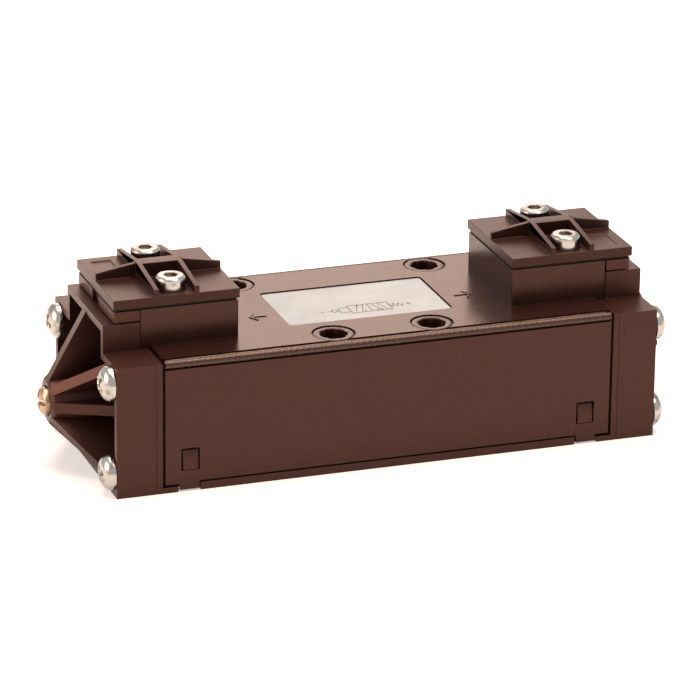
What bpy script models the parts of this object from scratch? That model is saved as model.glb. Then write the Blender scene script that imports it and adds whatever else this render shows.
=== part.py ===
"""Spring-return 5/2 pneumatic pilot valve for a sub-base, as an assembly of its real pieces.

Metres, +Z up. X runs along the spool, from the pilot end 14 (-X) to the spring end 12 (+X).
The valve stands on its sub-base face, which is the plane Z = 0, with the middle of the spool
travel's housing at X = 0, Y = 0.
"""

import math

import bmesh
import bpy
from mathutils import Matrix, Vector

MM = 0.001

# Clearances
SEAT = 0.06 * MM
RUNNING = 0.1 * MM
SLIP = 0.15 * MM
SCREW_CLEARANCE = 0.3 * MM
OVERRUN = 2.0 * MM

# Round pieces
STACK_STEPS = 14
BOLT_STEPS = 20
NOSE_STEPS = 20
PIN_STEPS = 12
SCREW_STEPS = 10
HOLE_STEPS = 12
ARC_STEPS = 3

# Housing
BODY_LENGTH = 108.5 * MM
BODY_WIDTH = 50.7 * MM
BODY_TOP_Z = 32.1 * MM
AXIS_Z = 15.8 * MM
EDGE_BEAD_RADIUS = 0.95 * MM
EDGE_BEAD_PROUD = 0.25 * MM
EDGE_BEAD_DROP = 0.2 * MM
EDGE_GROOVE_WIDTH = 0.3 * MM
EDGE_GROOVE_DEPTH = 0.9 * MM
UNDERSIDE_Z = 2.3 * MM
END_UNDERSIDE_Z = 2.0 * MM
SKIRT_BOTTOM_Z = 0.45 * MM
SKIRT_INSET = 3.35 * MM
SKIRT_LENGTH = 4.7 * MM
SIDE_SKIN = 0.45 * MM

# Pilot pads, the raised boxes that the covers close
PAD_LENGTH = 23.5 * MM
PAD_OVERHANG = 0.55 * MM
PAD_WIDTH = 29.2 * MM
PAD_TOP_Z = 41.0 * MM
PAD_EDGE = 0.5 * MM

# Sub-base interface
BOLT_ROW_INSET = 6.35 * MM
BOLT_WIDE_SPACING = 48.0 * MM
BOLT_NARROW_SPACING = 24.0 * MM
BOLT_HOLE_RADIUS = 3.3 * MM
BOLT_RING_RADIUS = 5.15 * MM
BOLT_RING_DEPTH = 0.55 * MM
PORT_EDGE = 1.5 * MM
PORT_RADIUS = 3.4 * MM
PILOT_PORT_X = 41.0 * MM
PILOT_PORT_RADIUS = 1.5 * MM

# Label pocket
LABEL_LENGTH = 40.2 * MM
LABEL_WIDTH = 22.9 * MM
LABEL_POCKET_DEPTH = 0.6 * MM
LABEL_CORNER = 1.1 * MM
LABEL_THICKNESS = 0.25 * MM
LABEL_MARGIN = 0.3 * MM

# Bore and the stack of seals and spacers in it
BORE_RADIUS = 10.0 * MM
GALLERY_RADIUS = 11.2 * MM
GALLERY_WIDTH = 6.4 * MM
STATION_PITCH = 15.1 * MM
SEAL_WIDTH = 2.4 * MM
SEAL_LIP = 0.55 * MM
SPACER_INNER_RADIUS = 7.0 * MM
SPACER_WINDOW_WIDTH = 5.4 * MM
SPACER_WINDOW_ARC = 4.4 * MM
SPACER_WINDOWS = 6

# Spool
SPOOL_RADIUS = 6.0 * MM
SPOOL_NECK_RADIUS = 4.1 * MM
SPOOL_STROKE = 4.0 * MM
LAND_WIDTH = 3.65 * MM
LAND_EDGE = 0.3 * MM
SPOOL_NOSE_RADIUS = 3.2 * MM

# Pilot piston and its liner, spring guide and its liner
LINER_WALL = 1.5 * MM
SPRING_LINER_FLOOR = 4.0 * MM
PISTON_THICKNESS = 4.2 * MM
PISTON_RING_RADIUS = 0.85 * MM
GUIDE_THICKNESS = 2.0 * MM
GUIDE_PEG_RADIUS = 2.3 * MM
GUIDE_PEG_LENGTH = 4.0 * MM
GUIDE_RADIUS = 5.0 * MM

# Return spring
SPRING_RADIUS = 3.35 * MM
SPRING_WIRE = 0.9 * MM
SPRING_TURNS = 8
SPRING_STEPS_PER_TURN = 9
SPRING_WIRE_STEPS = 4

# End gaskets and end plates
END_GASKET = 0.65 * MM
END_GASKET_INSET = 0.8 * MM
END_PLATE = 1.45 * MM
END_DROP = 0.6 * MM
FOOT_HEIGHT = 1.35 * MM
FOOT_REACH = 3.8 * MM
FOOT_CHAMFER = 0.5 * MM

# End caps
CAP_DEPTH = 9.35 * MM
CAP_WALL = 1.7 * MM
CAP_FLOOR = 2.3 * MM
NOSE_REACH = 9.34 * MM
NOSE_RADIUS = 5.3 * MM
NOSE_ROOT_RADIUS = 6.2 * MM
NOSE_CHAMFER = 0.7 * MM
RIB_THICKNESS = 2.5 * MM
RIB_START_RADIUS = 5.2 * MM
SIDE_RIB_FOOT = 12.8 * MM
UPPER_RIB_FOOT = 18.6 * MM
LOWER_RIB_FOOT = 20.4 * MM
LOWER_RIB_DROP = 1.16 * MM
CAP_BOSS_RADIUS = 4.0 * MM
SPRING_POCKET_RADIUS = 4.1 * MM
SPRING_POCKET_WALL = 2.7 * MM

# Override pin, in the pilot end's nose
PIN_HEAD_RADIUS = 3.35 * MM
PIN_HEAD_LENGTH = 4.4 * MM
PIN_HEAD_PROUD = 2.0 * MM
PIN_HEAD_DOME = 0.9 * MM
PIN_SLOT_WIDTH = 1.3 * MM
PIN_SLOT_DEPTH = 1.0 * MM
PIN_HEAD_ROOM = 2.1 * MM
PIN_RADIUS = 2.2 * MM
PIN_SEAL_RADIUS = 0.55 * MM
PIN_SEAL_SPACING = 5.6 * MM
PIN_CLIP_RADIUS = 3.4 * MM
PIN_CLIP_THICKNESS = 0.8 * MM
PIN_CLIP_GROOVE = 0.5 * MM
PIN_CLIP_POCKET_RADIUS = 4.1 * MM
PIN_CLIP_INSET = 5.2 * MM

# Cap screws
CAP_SCREW_INSET = 3.75 * MM
CAP_SCREW_LOW_Z = 5.4 * MM
CAP_SCREW_DROP = 4.6 * MM
CAP_SCREW_RADIUS = 1.9 * MM
CAP_SCREW_LENGTH = 18.0 * MM
CAP_HEAD_RADIUS = 4.2 * MM
CAP_HEAD_HEIGHT = 3.1 * MM

# Pilot pad covers, their gaskets, inserts and screws
COVER_LENGTH = 30.0 * MM
COVER_LIP = 0.1 * MM
COVER_THICKNESS = 2.3 * MM
COVER_GASKET = 0.5 * MM
COVER_GASKET_INSET = 0.3 * MM
RIB_WIDTH = 1.2 * MM
RIB_SPACING = 9.6 * MM
RIB_END_HEIGHT = 1.65 * MM
RIB_MIDDLE_HEIGHT = 3.45 * MM
BAR_WIDTH = 3.6 * MM
COVER_RECESS_DEPTH = 0.3 * MM
COVER_RECESS_LENGTH = 4.6 * MM
COVER_RECESS_WIDTH = 8.2 * MM
COVER_RECESS_MARGIN = 2.6 * MM
COVER_SCREW_SPACING = 20.0 * MM
COVER_SCREW_RADIUS = 1.65 * MM
COVER_SCREW_LENGTH = 9.0 * MM
COVER_HEAD_RADIUS = 3.5 * MM
COVER_HEAD_HEIGHT = 4.0 * MM
COVER_HEAD_SUNK = 0.85 * MM
COVER_HEAD_EDGE = 0.35 * MM
HEX_ACROSS_FLATS = 3.0 * MM
HEX_DEPTH = 2.0 * MM
INSERT_THICKNESS = 2.55 * MM
INSERT_GAP = 0.35 * MM
INSERT_MARGIN = 0.25 * MM
INSERT_CORNER = 1.0 * MM
INSERT_NOTCH_WIDTH = 5.0 * MM
INSERT_NOTCH_DEPTH = 0.9 * MM

# Base plate with its face seal and snap arms
BASE_END_GAP = 0.35 * MM
BASE_THICKNESS = 1.9 * MM
BASE_SEAL_MARGIN = 1.9 * MM
BASE_SEAL_CORNER = 3.0 * MM
ARM_LENGTH_X = 3.6 * MM
ARM_THICKNESS = 0.75 * MM
ARM_SLOT = 0.95 * MM
ARM_INSET = 0.8 * MM
WINDOW_LENGTH = 4.4 * MM
WINDOW_LOW_Z = 5.1 * MM
WINDOW_HEIGHT = 5.35 * MM
HOOK_PROUD = 0.35 * MM
HOOK_FLAT = 2.6 * MM
HOOK_SLOPE = 2.0 * MM

# Places worked out from the sizes above
BODY_END_X = BODY_LENGTH / 2
BODY_SIDE_Y = BODY_WIDTH / 2
SPACER_LENGTH = STATION_PITCH - SEAL_WIDTH - 2 * SEAT
STACK_END_X = 2.5 * STATION_PITCH + SEAL_WIDTH / 2
STACK_RADIUS = BORE_RADIUS - SLIP
LINER_INNER_RADIUS = STACK_RADIUS - LINER_WALL
PISTON_RADIUS = LINER_INNER_RADIUS - SLIP
END_HEIGHT = BODY_TOP_Z - END_DROP
END_PLATE_INNER_X = BODY_END_X + END_GASKET
END_PLATE_OUTER_X = END_PLATE_INNER_X + END_PLATE
PAD_OUTER_X = END_PLATE_OUTER_X + PAD_OVERHANG
PAD_INNER_X = PAD_OUTER_X - PAD_LENGTH
CAP_INNER_X = END_PLATE_OUTER_X + SEAT
CAP_BOX_INNER_X = PAD_OUTER_X + SEAT
CAP_BOX_TOP_Z = PAD_TOP_Z - INSERT_THICKNESS - INSERT_GAP
CAP_FLOOR_X = CAP_INNER_X + CAP_FLOOR
CAP_RIM_X = CAP_INNER_X + CAP_DEPTH
CAP_SCREW_Y = BODY_SIDE_Y - CAP_SCREW_INSET
CAP_SCREW_HIGH_Z = END_HEIGHT - CAP_SCREW_DROP
NOSE_FACE_X = CAP_RIM_X + NOSE_REACH
SPRING_POCKET_END_X = NOSE_FACE_X - SPRING_POCKET_WALL
PIN_CLIP_X = CAP_INNER_X + PIN_CLIP_INSET
PIN_SEAL_X = PIN_CLIP_X + PIN_SEAL_SPACING
PISTON_FACE_X = END_PLATE_INNER_X - SEAT
PISTON_BACK_X = PISTON_FACE_X - PISTON_THICKNESS
LINER_START_X = STACK_END_X + SEAT
PISTON_STOP_X = PISTON_BACK_X - SPOOL_STROKE - SEAT
COVER_CENTRE_X = PAD_INNER_X - COVER_LIP + COVER_LENGTH / 2
INSERT_OUTER_X = COVER_CENTRE_X + COVER_LENGTH / 2 - COVER_LIP
INSERT_WIDTH = COVER_LENGTH - 2 * INSERT_MARGIN
SKIRT_OUTER_X = BODY_END_X - SKIRT_INSET
SKIRT_INNER_X = SKIRT_OUTER_X - SKIRT_LENGTH
BASE_LENGTH = 2 * (SKIRT_INNER_X - BASE_END_GAP)
BASE_SEAL_LENGTH = BASE_LENGTH - 2 * BASE_SEAL_MARGIN
ARM_OUTER_X = SKIRT_OUTER_X - ARM_INSET
WINDOW_OUTER_X = ARM_OUTER_X - ARM_LENGTH_X / 2 + WINDOW_LENGTH / 2
COVER_BOTTOM_Z = PAD_TOP_Z + COVER_GASKET + 2 * SEAT
COVER_TOP_Z = COVER_BOTTOM_Z + COVER_THICKNESS
COVER_HEAD_Z = COVER_TOP_Z - COVER_HEAD_SUNK + SEAT
PAD_SIDE_Y = PAD_WIDTH / 2
BOLT_ROW_Y = BODY_SIDE_Y - BOLT_ROW_INSET
BASE_SEAL_SIDE_Y = BOLT_ROW_Y - BOLT_HOLE_RADIUS - SCREW_CLEARANCE - BASE_SEAL_MARGIN
PORT_ROW_Y = BASE_SEAL_SIDE_Y - PORT_EDGE - PORT_RADIUS
BOLT_PLACES = (
    (-BOLT_NARROW_SPACING / 2, -BOLT_ROW_Y),
    (BOLT_NARROW_SPACING / 2, -BOLT_ROW_Y),
    (-BOLT_WIDE_SPACING / 2, BOLT_ROW_Y),
    (BOLT_WIDE_SPACING / 2, BOLT_ROW_Y),
)
STATIONS = tuple(step * STATION_PITCH for step in (-2, -1, 0, 1, 2))
PORT_PLACES = tuple(
    (x, PORT_ROW_Y if index % 2 == 0 else -PORT_ROW_Y) for index, x in enumerate(STATIONS)
)
PILOT_PORT_PLACES = ((-PILOT_PORT_X, 0.0), (PILOT_PORT_X, 0.0))


def clear_scene():
    """Removes every object of the scene that is open."""
    for item in list(bpy.data.objects):
        bpy.data.objects.remove(item, do_unlink=True)


def make_material(name, colour, roughness, metallic=0.0):
    """A Principled material with the piece's own colour."""
    material = bpy.data.materials.new(name)
    material.use_nodes = True
    shader = material.node_tree.nodes["Principled BSDF"]
    shader.inputs["Base Color"].default_value = (*colour, 1.0)
    shader.inputs["Roughness"].default_value = roughness
    shader.inputs["Metallic"].default_value = metallic
    material.diffuse_color = (*colour, 1.0)
    return material


def add_object(name, shape, material=None, smooth=False):
    """Links a bmesh to the scene as an object with this name."""
    bmesh.ops.recalc_face_normals(shape, faces=shape.faces)
    mesh = bpy.data.meshes.new(name)
    shape.to_mesh(mesh)
    shape.free()
    if smooth:
        mesh.shade_smooth()
        mesh.set_sharp_from_angle(angle=math.radians(30))
    item = bpy.data.objects.new(name, mesh)
    bpy.context.scene.collection.objects.link(item)
    if material is not None:
        mesh.materials.append(material)
    return item


def combine(target, shape, operation):
    """Joins a shape to an object, or cuts it out, with a Boolean that stays on the object."""
    tool = add_object(f"{target.name}_{operation.lower()}_{len(target.modifiers)}", shape)
    tool.hide_render = True
    tool.display_type = "WIRE"
    modifier = target.modifiers.new(operation.title(), "BOOLEAN")
    modifier.operation = operation
    modifier.solver = "EXACT"
    modifier.object = tool


def fuse(target, shape):
    combine(target, shape, "UNION")


def cut(target, shape):
    combine(target, shape, "DIFFERENCE")


def merged(shapes):
    """One bmesh that holds several shapes that do not meet."""
    joined = bmesh.new()
    for shape in shapes:
        mesh = bpy.data.meshes.new("part")
        shape.to_mesh(mesh)
        shape.free()
        joined.from_mesh(mesh)
        bpy.data.meshes.remove(mesh)
    return joined


def prism(outline, axis, start, end):
    """A closed outline in the two other axes, extruded along axis from start to end."""
    place = {
        "X": lambda a, b, at: (at, a, b),
        "Y": lambda a, b, at: (a, at, b),
        "Z": lambda a, b, at: (a, b, at),
    }[axis]
    shape = bmesh.new()
    near = [shape.verts.new(place(a, b, start)) for a, b in outline]
    far = [shape.verts.new(place(a, b, end)) for a, b in outline]
    shape.faces.new(near)
    shape.faces.new(reversed(far))
    count = len(outline)
    for index in range(count):
        after = (index + 1) % count
        shape.faces.new((near[index], near[after], far[after], far[index]))
    bmesh.ops.recalc_face_normals(shape, faces=shape.faces)
    return shape


def box(low, high):
    """A box between two corners."""
    outline = ((low[0], low[1]), (high[0], low[1]), (high[0], high[1]), (low[0], high[1]))
    return prism(outline, "Z", low[2], high[2])


def arc(centre, radius, start_degrees, end_degrees, steps):
    """Points along an arc, both ends included."""
    points = []
    for index in range(steps + 1):
        angle = math.radians(start_degrees + (end_degrees - start_degrees) * index / steps)
        points.append((centre[0] + radius * math.cos(angle), centre[1] + radius * math.sin(angle)))
    return points


def rounded_rectangle(centre, length, width, corner, steps=ARC_STEPS):
    """A rectangle's outline with round corners."""
    across, along = length / 2 - corner, width / 2 - corner
    outline = []
    for index, (side_a, side_b) in enumerate(((1, 1), (-1, 1), (-1, -1), (1, -1))):
        middle = (centre[0] + side_a * across, centre[1] + side_b * along)
        outline += arc(middle, corner, 90 * index, 90 * index + 90, steps)
    return outline


def turned(profile, axis, centre, steps, closed_ring=False, phase=0.0):
    """Turns a profile of (along, radius) pairs about a line through centre, along X or Z.

    A radius of zero gives a pole. A closed ring joins its last pair to its first. The phase
    turns the corners by that part of a step.
    """
    shape = bmesh.new()

    def ring_of(along, radius):
        count = 1 if radius == 0 else steps
        ring = []
        for index in range(count):
            angle = 2 * math.pi * (index + phase) / steps
            a, b = radius * math.cos(angle), radius * math.sin(angle)
            if axis == "X":
                ring.append(shape.verts.new((along, centre[0] + a, centre[1] + b)))
            else:
                ring.append(shape.verts.new((centre[0] + a, centre[1] + b, along)))
        return ring

    rings = [ring_of(along, radius) for along, radius in profile]
    pairs = list(zip(rings, rings[1:]))
    if closed_ring:
        pairs.append((rings[-1], rings[0]))
    for first, second in pairs:
        for index in range(steps):
            after = (index + 1) % steps
            corners = [first[index % len(first)], first[after % len(first)]]
            corners += [second[after % len(second)], second[index % len(second)]]
            corners = list(dict.fromkeys(corners))
            if len(corners) > 2:
                shape.faces.new(corners)
    bmesh.ops.recalc_face_normals(shape, faces=shape.faces)
    return shape


def rod(axis, centre, radius, start, end, steps=HOLE_STEPS, phase=0.0):
    """A plain cylinder along X or Z."""
    profile = ((start, 0), (start, radius), (end, radius), (end, 0))
    return turned(profile, axis, centre, steps, phase=phase)


def ring_tube(middle, radius, tube_radius, steps, tube_steps=6):
    """A round ring about the spool axis, such as an O-ring, with its middle at X."""
    profile = arc((middle, radius), tube_radius, 0, 360 - 360 / tube_steps, tube_steps - 1)
    return turned(profile, "X", (0, AXIS_Z), steps, closed_ring=True)


def turn_end_for_end(shape):
    """Turns a shape half round about the upright line through the origin."""
    bmesh.ops.transform(shape, matrix=Matrix.Diagonal((-1, -1, 1, 1)), verts=shape.verts)
    return shape


def at_end(shape, side):
    """Shapes are drawn for the +X end. The -X end is the same piece, turned end for end."""
    return shape if side > 0 else turn_end_for_end(shape)


def body_section():
    """The housing's outline across X, with a rounded bead along each long upper edge."""
    bead_y = BODY_SIDE_Y + EDGE_BEAD_PROUD - EDGE_BEAD_RADIUS
    bead_z = BODY_TOP_Z - EDGE_BEAD_DROP - EDGE_BEAD_RADIUS
    inner_y = bead_y - EDGE_BEAD_RADIUS
    side = [(BODY_SIDE_Y, SKIRT_BOTTOM_Z)]
    side.append((BODY_SIDE_Y, bead_z - EDGE_BEAD_RADIUS - EDGE_BEAD_DROP))
    side += arc((bead_y, bead_z), EDGE_BEAD_RADIUS, -75, 165, 2 * ARC_STEPS)
    side.append((inner_y, BODY_TOP_Z - EDGE_GROOVE_DEPTH))
    side.append((inner_y - EDGE_GROOVE_WIDTH, BODY_TOP_Z - EDGE_GROOVE_DEPTH))
    side.append((inner_y - EDGE_GROOVE_WIDTH, BODY_TOP_Z))
    return side + [(-y, z) for y, z in reversed(side)]


def bore_cutter():
    """The through bore with one wider gallery at each port."""
    profile = [(-BODY_END_X - OVERRUN, 0), (-BODY_END_X - OVERRUN, BORE_RADIUS)]
    for x in STATIONS:
        start, end = x - GALLERY_WIDTH / 2, x + GALLERY_WIDTH / 2
        profile += [(start, BORE_RADIUS), (start, GALLERY_RADIUS)]
        profile += [(end, GALLERY_RADIUS), (end, BORE_RADIUS)]
    profile += [(BODY_END_X + OVERRUN, BORE_RADIUS), (BODY_END_X + OVERRUN, 0)]
    return turned(profile, "X", (0, AXIS_Z), STACK_STEPS)


def bolt_hole_cutter(place):
    """A mounting hole with the shallow ring at its top."""
    ring_z = BODY_TOP_Z - BOLT_RING_DEPTH
    profile = (
        (-OVERRUN, 0),
        (-OVERRUN, BOLT_HOLE_RADIUS),
        (ring_z, BOLT_HOLE_RADIUS),
        (ring_z, BOLT_RING_RADIUS),
        (BODY_TOP_Z + OVERRUN, BOLT_RING_RADIUS),
        (BODY_TOP_Z + OVERRUN, 0),
    )
    return turned(profile, "Z", place, BOLT_STEPS)


def port_cutters():
    """The ports that run up from the underside into their galleries, and the pilot feeds."""
    shapes = [
        rod("Z", place, PORT_RADIUS, -OVERRUN, AXIS_Z - PORT_RADIUS) for place in PORT_PLACES
    ]
    top_z = AXIS_Z - SPOOL_RADIUS
    for place in PILOT_PORT_PLACES:
        shapes.append(
            rod("Z", place, PILOT_PORT_RADIUS, -OVERRUN, top_z, SCREW_STEPS, phase=0.5)
        )
    return merged(shapes)


def cap_screw_places():
    return [
        (y, z)
        for y in (-CAP_SCREW_Y, CAP_SCREW_Y)
        for z in (CAP_SCREW_LOW_Z, CAP_SCREW_HIGH_Z)
    ]


def cap_screw_tip_x():
    return CAP_RIM_X + SEAT - CAP_SCREW_LENGTH


def cap_screw_holes(radius, start, end, side):
    """The four holes of one end's cap screws, from start to end."""
    shapes = [rod("X", place, radius, start, end, SCREW_STEPS) for place in cap_screw_places()]
    return at_end(merged(shapes), side)


def cover_screw_places(side):
    return [
        (side * COVER_CENTRE_X, y) for y in (-COVER_SCREW_SPACING / 2, COVER_SCREW_SPACING / 2)
    ]


def snap_places():
    """The four corners that hold a snap arm, as signs along X and Y."""
    return [(side_x, side_y) for side_x in (-1, 1) for side_y in (-1, 1)]


def signed_box(side_x, side_y, x_range, y_range, z_range):
    """A box given for the +X, +Y corner, mirrored to another corner."""
    xs = sorted(side_x * x for x in x_range)
    ys = sorted(side_y * y for y in y_range)
    return box((xs[0], ys[0], z_range[0]), (xs[1], ys[1], z_range[1]))


def arm_slot_range():
    """Where the slot for a snap arm lies across Y, behind the housing's skin."""
    outer = BODY_SIDE_Y - SIDE_SKIN
    return outer - ARM_SLOT, outer


def pad_shape(side):
    """One raised pilot pad, sunk into the housing, with small bevels up its corners."""
    outline = rounded_rectangle(
        (side * (PAD_INNER_X + PAD_OUTER_X) / 2, 0),
        PAD_OUTER_X - PAD_INNER_X,
        PAD_WIDTH,
        PAD_EDGE,
        2,
    )
    return prism(outline, "Z", END_HEIGHT + SEAT, PAD_TOP_Z)


def make_body(material):
    """The cast housing: one piece from end to end, with both pilot pads."""
    body = add_object("valve_body", prism(body_section(), "X", -BODY_END_X, BODY_END_X), material)
    for side in (-1, 1):
        fuse(body, pad_shape(side))
    cut(body, bore_cutter())
    cut(body, port_cutters())
    cut(body, merged([bolt_hole_cutter(place) for place in BOLT_PLACES]))
    pocket = rounded_rectangle((0, 0), LABEL_LENGTH, LABEL_WIDTH, LABEL_CORNER)
    cut(body, prism(pocket, "Z", BODY_TOP_Z - LABEL_POCKET_DEPTH, BODY_TOP_Z + OVERRUN))
    cut_underside(body)
    cut_snap_windows(body)
    hole = CAP_SCREW_RADIUS + RUNNING
    for side in (-1, 1):
        cut(body, cap_screw_holes(hole, cap_screw_tip_x() - OVERRUN, BODY_END_X + OVERRUN, side))
    hole = COVER_SCREW_RADIUS + RUNNING
    low = COVER_HEAD_Z - COVER_SCREW_LENGTH - OVERRUN
    places = cover_screw_places(-1) + cover_screw_places(1)
    holes = [rod("Z", place, hole, low, PAD_TOP_Z + OVERRUN, SCREW_STEPS) for place in places]
    cut(body, merged(holes))
    return body


def cut_underside(body):
    """Leaves the four short skirts that hide the snap arms, and room for the base plate."""
    inner_y = BODY_SIDE_Y - SIDE_SKIN
    low = (-BODY_END_X - OVERRUN, -inner_y, -OVERRUN)
    cut(body, box(low, (BODY_END_X + OVERRUN, inner_y, UNDERSIDE_Z)))
    wide_y = BODY_SIDE_Y + OVERRUN
    steps = [box((-SKIRT_INNER_X, -wide_y, -OVERRUN), (SKIRT_INNER_X, wide_y, UNDERSIDE_Z))]
    for side in (-1, 1):
        xs = sorted((side * SKIRT_OUTER_X, side * (BODY_END_X + OVERRUN)))
        steps.append(box((xs[0], -wide_y, -OVERRUN), (xs[1], wide_y, END_UNDERSIDE_Z)))
    cut(body, merged(steps))


def cut_snap_windows(body):
    """A window through the skin at each corner, and the slot that the snap arm stands in."""
    windows, slots = [], []
    slot = arm_slot_range()
    window_x = (WINDOW_OUTER_X - WINDOW_LENGTH, WINDOW_OUTER_X)
    slot_x = (ARM_OUTER_X - ARM_LENGTH_X - SLIP, ARM_OUTER_X + SLIP)
    top_z = WINDOW_LOW_Z + WINDOW_HEIGHT
    for side_x, side_y in snap_places():
        windows.append(
            signed_box(
                side_x,
                side_y,
                window_x,
                (slot[0] + SLIP, BODY_SIDE_Y + OVERRUN),
                (WINDOW_LOW_Z, top_z),
            )
        )
        slots.append(signed_box(side_x, side_y, slot_x, slot, (-OVERRUN, top_z - SLIP)))
    cut(body, merged(slots))
    cut(body, merged(windows))


def snap_arm(side_x, side_y):
    """One arm of the base plate with its wedge-shaped hook, extruded along X."""
    front = arm_slot_range()[1] - RUNNING
    back = front - ARM_THICKNESS
    foot_z = (SKIRT_BOTTOM_Z + BASE_THICKNESS) / 2
    hook_y = front + HOOK_PROUD + SIDE_SKIN / 2
    low = WINDOW_LOW_Z + SLIP
    outline = (
        (back, foot_z),
        (front, foot_z),
        (front, low),
        (hook_y, low),
        (hook_y, low + HOOK_FLAT),
        (front, low + HOOK_FLAT + HOOK_SLOPE),
        (back, low + HOOK_FLAT + HOOK_SLOPE),
    )
    outline = [(side_y * y, z) for y, z in outline]
    xs = sorted((side_x * (ARM_OUTER_X - ARM_LENGTH_X), side_x * ARM_OUTER_X))
    return prism(outline, "X", xs[0], xs[1])


def arm_root(side_x, side_y):
    """The tab that joins a snap arm to the base plate."""
    front = arm_slot_range()[1] - RUNNING
    x_range = (BASE_LENGTH / 2 - 2 * CAP_WALL, ARM_OUTER_X)
    y_range = (front - 2 * CAP_WALL, front)
    return signed_box(side_x, side_y, x_range, y_range, (SKIRT_BOTTOM_Z, BASE_THICKNESS - SEAT))


def base_outline():
    return (
        (-BASE_LENGTH / 2, -BODY_SIDE_Y),
        (BASE_LENGTH / 2, -BODY_SIDE_Y),
        (BASE_LENGTH / 2, BODY_SIDE_Y),
        (-BASE_LENGTH / 2, BODY_SIDE_Y),
    )


def port_holes(radius, pilot_radius):
    shapes = [rod("Z", place, radius, -OVERRUN, UNDERSIDE_Z + OVERRUN) for place in PORT_PLACES]
    for place in PILOT_PORT_PLACES:
        shapes.append(rod("Z", place, pilot_radius, -OVERRUN, UNDERSIDE_Z + OVERRUN, SCREW_STEPS))
    return merged(shapes)


def make_base_plate(material):
    """The frame round the face seal, which snaps into the housing from below."""
    plate = add_object("base_plate", prism(base_outline(), "Z", 0, BASE_THICKNESS), material)
    fuse(plate, merged([arm_root(*place) for place in snap_places()]))
    fuse(plate, merged([snap_arm(*place) for place in snap_places()]))
    window = rounded_rectangle((0, 0), BASE_SEAL_LENGTH, 2 * BASE_SEAL_SIDE_Y, BASE_SEAL_CORNER)
    cut(plate, prism(window, "Z", -OVERRUN, UNDERSIDE_Z))
    hole = BOLT_HOLE_RADIUS + SCREW_CLEARANCE
    holes = [rod("Z", place, hole, -OVERRUN, BODY_TOP_Z) for place in BOLT_PLACES]
    cut(plate, merged(holes))
    return plate


def make_base_seal(material):
    """The rubber face seal that fills the base plate's window, with an opening at every port."""
    length, width = BASE_SEAL_LENGTH - 2 * SLIP, 2 * (BASE_SEAL_SIDE_Y - SLIP)
    outline = rounded_rectangle((0, 0), length, width, BASE_SEAL_CORNER)
    seal = add_object("base_face_seal", prism(outline, "Z", 0, UNDERSIDE_Z - SEAT), material)
    cut(seal, port_holes(PORT_RADIUS + SLIP, PILOT_PORT_RADIUS + SLIP))
    return seal


def make_label(material):
    """The plate in the pocket on top, left bare."""
    outline = rounded_rectangle(
        (0, 0),
        LABEL_LENGTH - 2 * LABEL_MARGIN,
        LABEL_WIDTH - 2 * LABEL_MARGIN,
        LABEL_CORNER - LABEL_MARGIN,
    )
    low = BODY_TOP_Z - LABEL_POCKET_DEPTH + SEAT
    return add_object("label_plate", prism(outline, "Z", low, low + LABEL_THICKNESS), material)


def end_outline(inset=0.0):
    """The tall rectangle of the housing's ends."""
    low, high, side = inset, END_HEIGHT - inset, BODY_SIDE_Y - inset
    return ((-side, low), (side, low), (side, high), (-side, high))


def make_end_gasket(name, side, material):
    """The sheet gasket between the housing and an end plate."""
    outline = end_outline(END_GASKET_INSET)
    outline = [(y, max(z, UNDERSIDE_Z)) for y, z in outline]
    start = BODY_END_X + SEAT
    shape = prism(outline, "X", start, start + END_GASKET - 2 * SEAT)
    gasket = add_object(name, at_end(shape, side), material)
    window = rod("X", (0, AXIS_Z), BORE_RADIUS, BODY_END_X, END_PLATE_OUTER_X, STACK_STEPS)
    cut(gasket, at_end(window, side))
    hole = CAP_SCREW_RADIUS + SCREW_CLEARANCE
    cut(gasket, cap_screw_holes(hole, BODY_END_X - OVERRUN, END_PLATE_OUTER_X, side))
    return gasket


def make_end_plate(name, side, hole_radius, material):
    """The thin plate under an end cap, with a foot that reaches under the housing."""
    tip = END_PLATE_INNER_X - FOOT_REACH
    outline = (
        (END_PLATE_OUTER_X, 0),
        (END_PLATE_OUTER_X, END_HEIGHT),
        (END_PLATE_INNER_X, END_HEIGHT),
        (END_PLATE_INNER_X, FOOT_HEIGHT),
        (tip, FOOT_HEIGHT),
        (tip, FOOT_CHAMFER),
        (tip + FOOT_CHAMFER / 2, 0),
    )
    shape = prism(outline, "Y", -BODY_SIDE_Y, BODY_SIDE_Y)
    plate = add_object(name, at_end(shape, side), material)
    start, end = END_PLATE_INNER_X - OVERRUN, END_PLATE_OUTER_X + OVERRUN
    cut(plate, at_end(rod("X", (0, AXIS_Z), hole_radius, start, end), side))
    cut(plate, cap_screw_holes(CAP_SCREW_RADIUS + SCREW_CLEARANCE, start, end, side))
    return plate


def cap_outline(inset):
    """The cap's stepped outline: a wide plate below and the narrower box above."""
    wide, narrow = BODY_SIDE_Y - inset, PAD_SIDE_Y - inset
    low, ledge, top = inset, END_HEIGHT - inset, CAP_BOX_TOP_Z - inset
    right = [(wide, low), (wide, ledge), (narrow, ledge), (narrow, top)]
    return right + [(-y, z) for y, z in reversed(right)]


def rib_plate(angle_degrees, profile):
    """A web in a plane through the spool axis, drawn as (x, distance from the axis)."""
    shape = prism(profile, "Y", -RIB_THICKNESS / 2, RIB_THICKNESS / 2)
    turn = Matrix.Rotation(math.radians(angle_degrees - 90), 4, "X")
    move = Matrix.Translation((0, 0, AXIS_Z))
    bmesh.ops.transform(shape, matrix=move @ turn, verts=shape.verts)
    return shape


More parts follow.
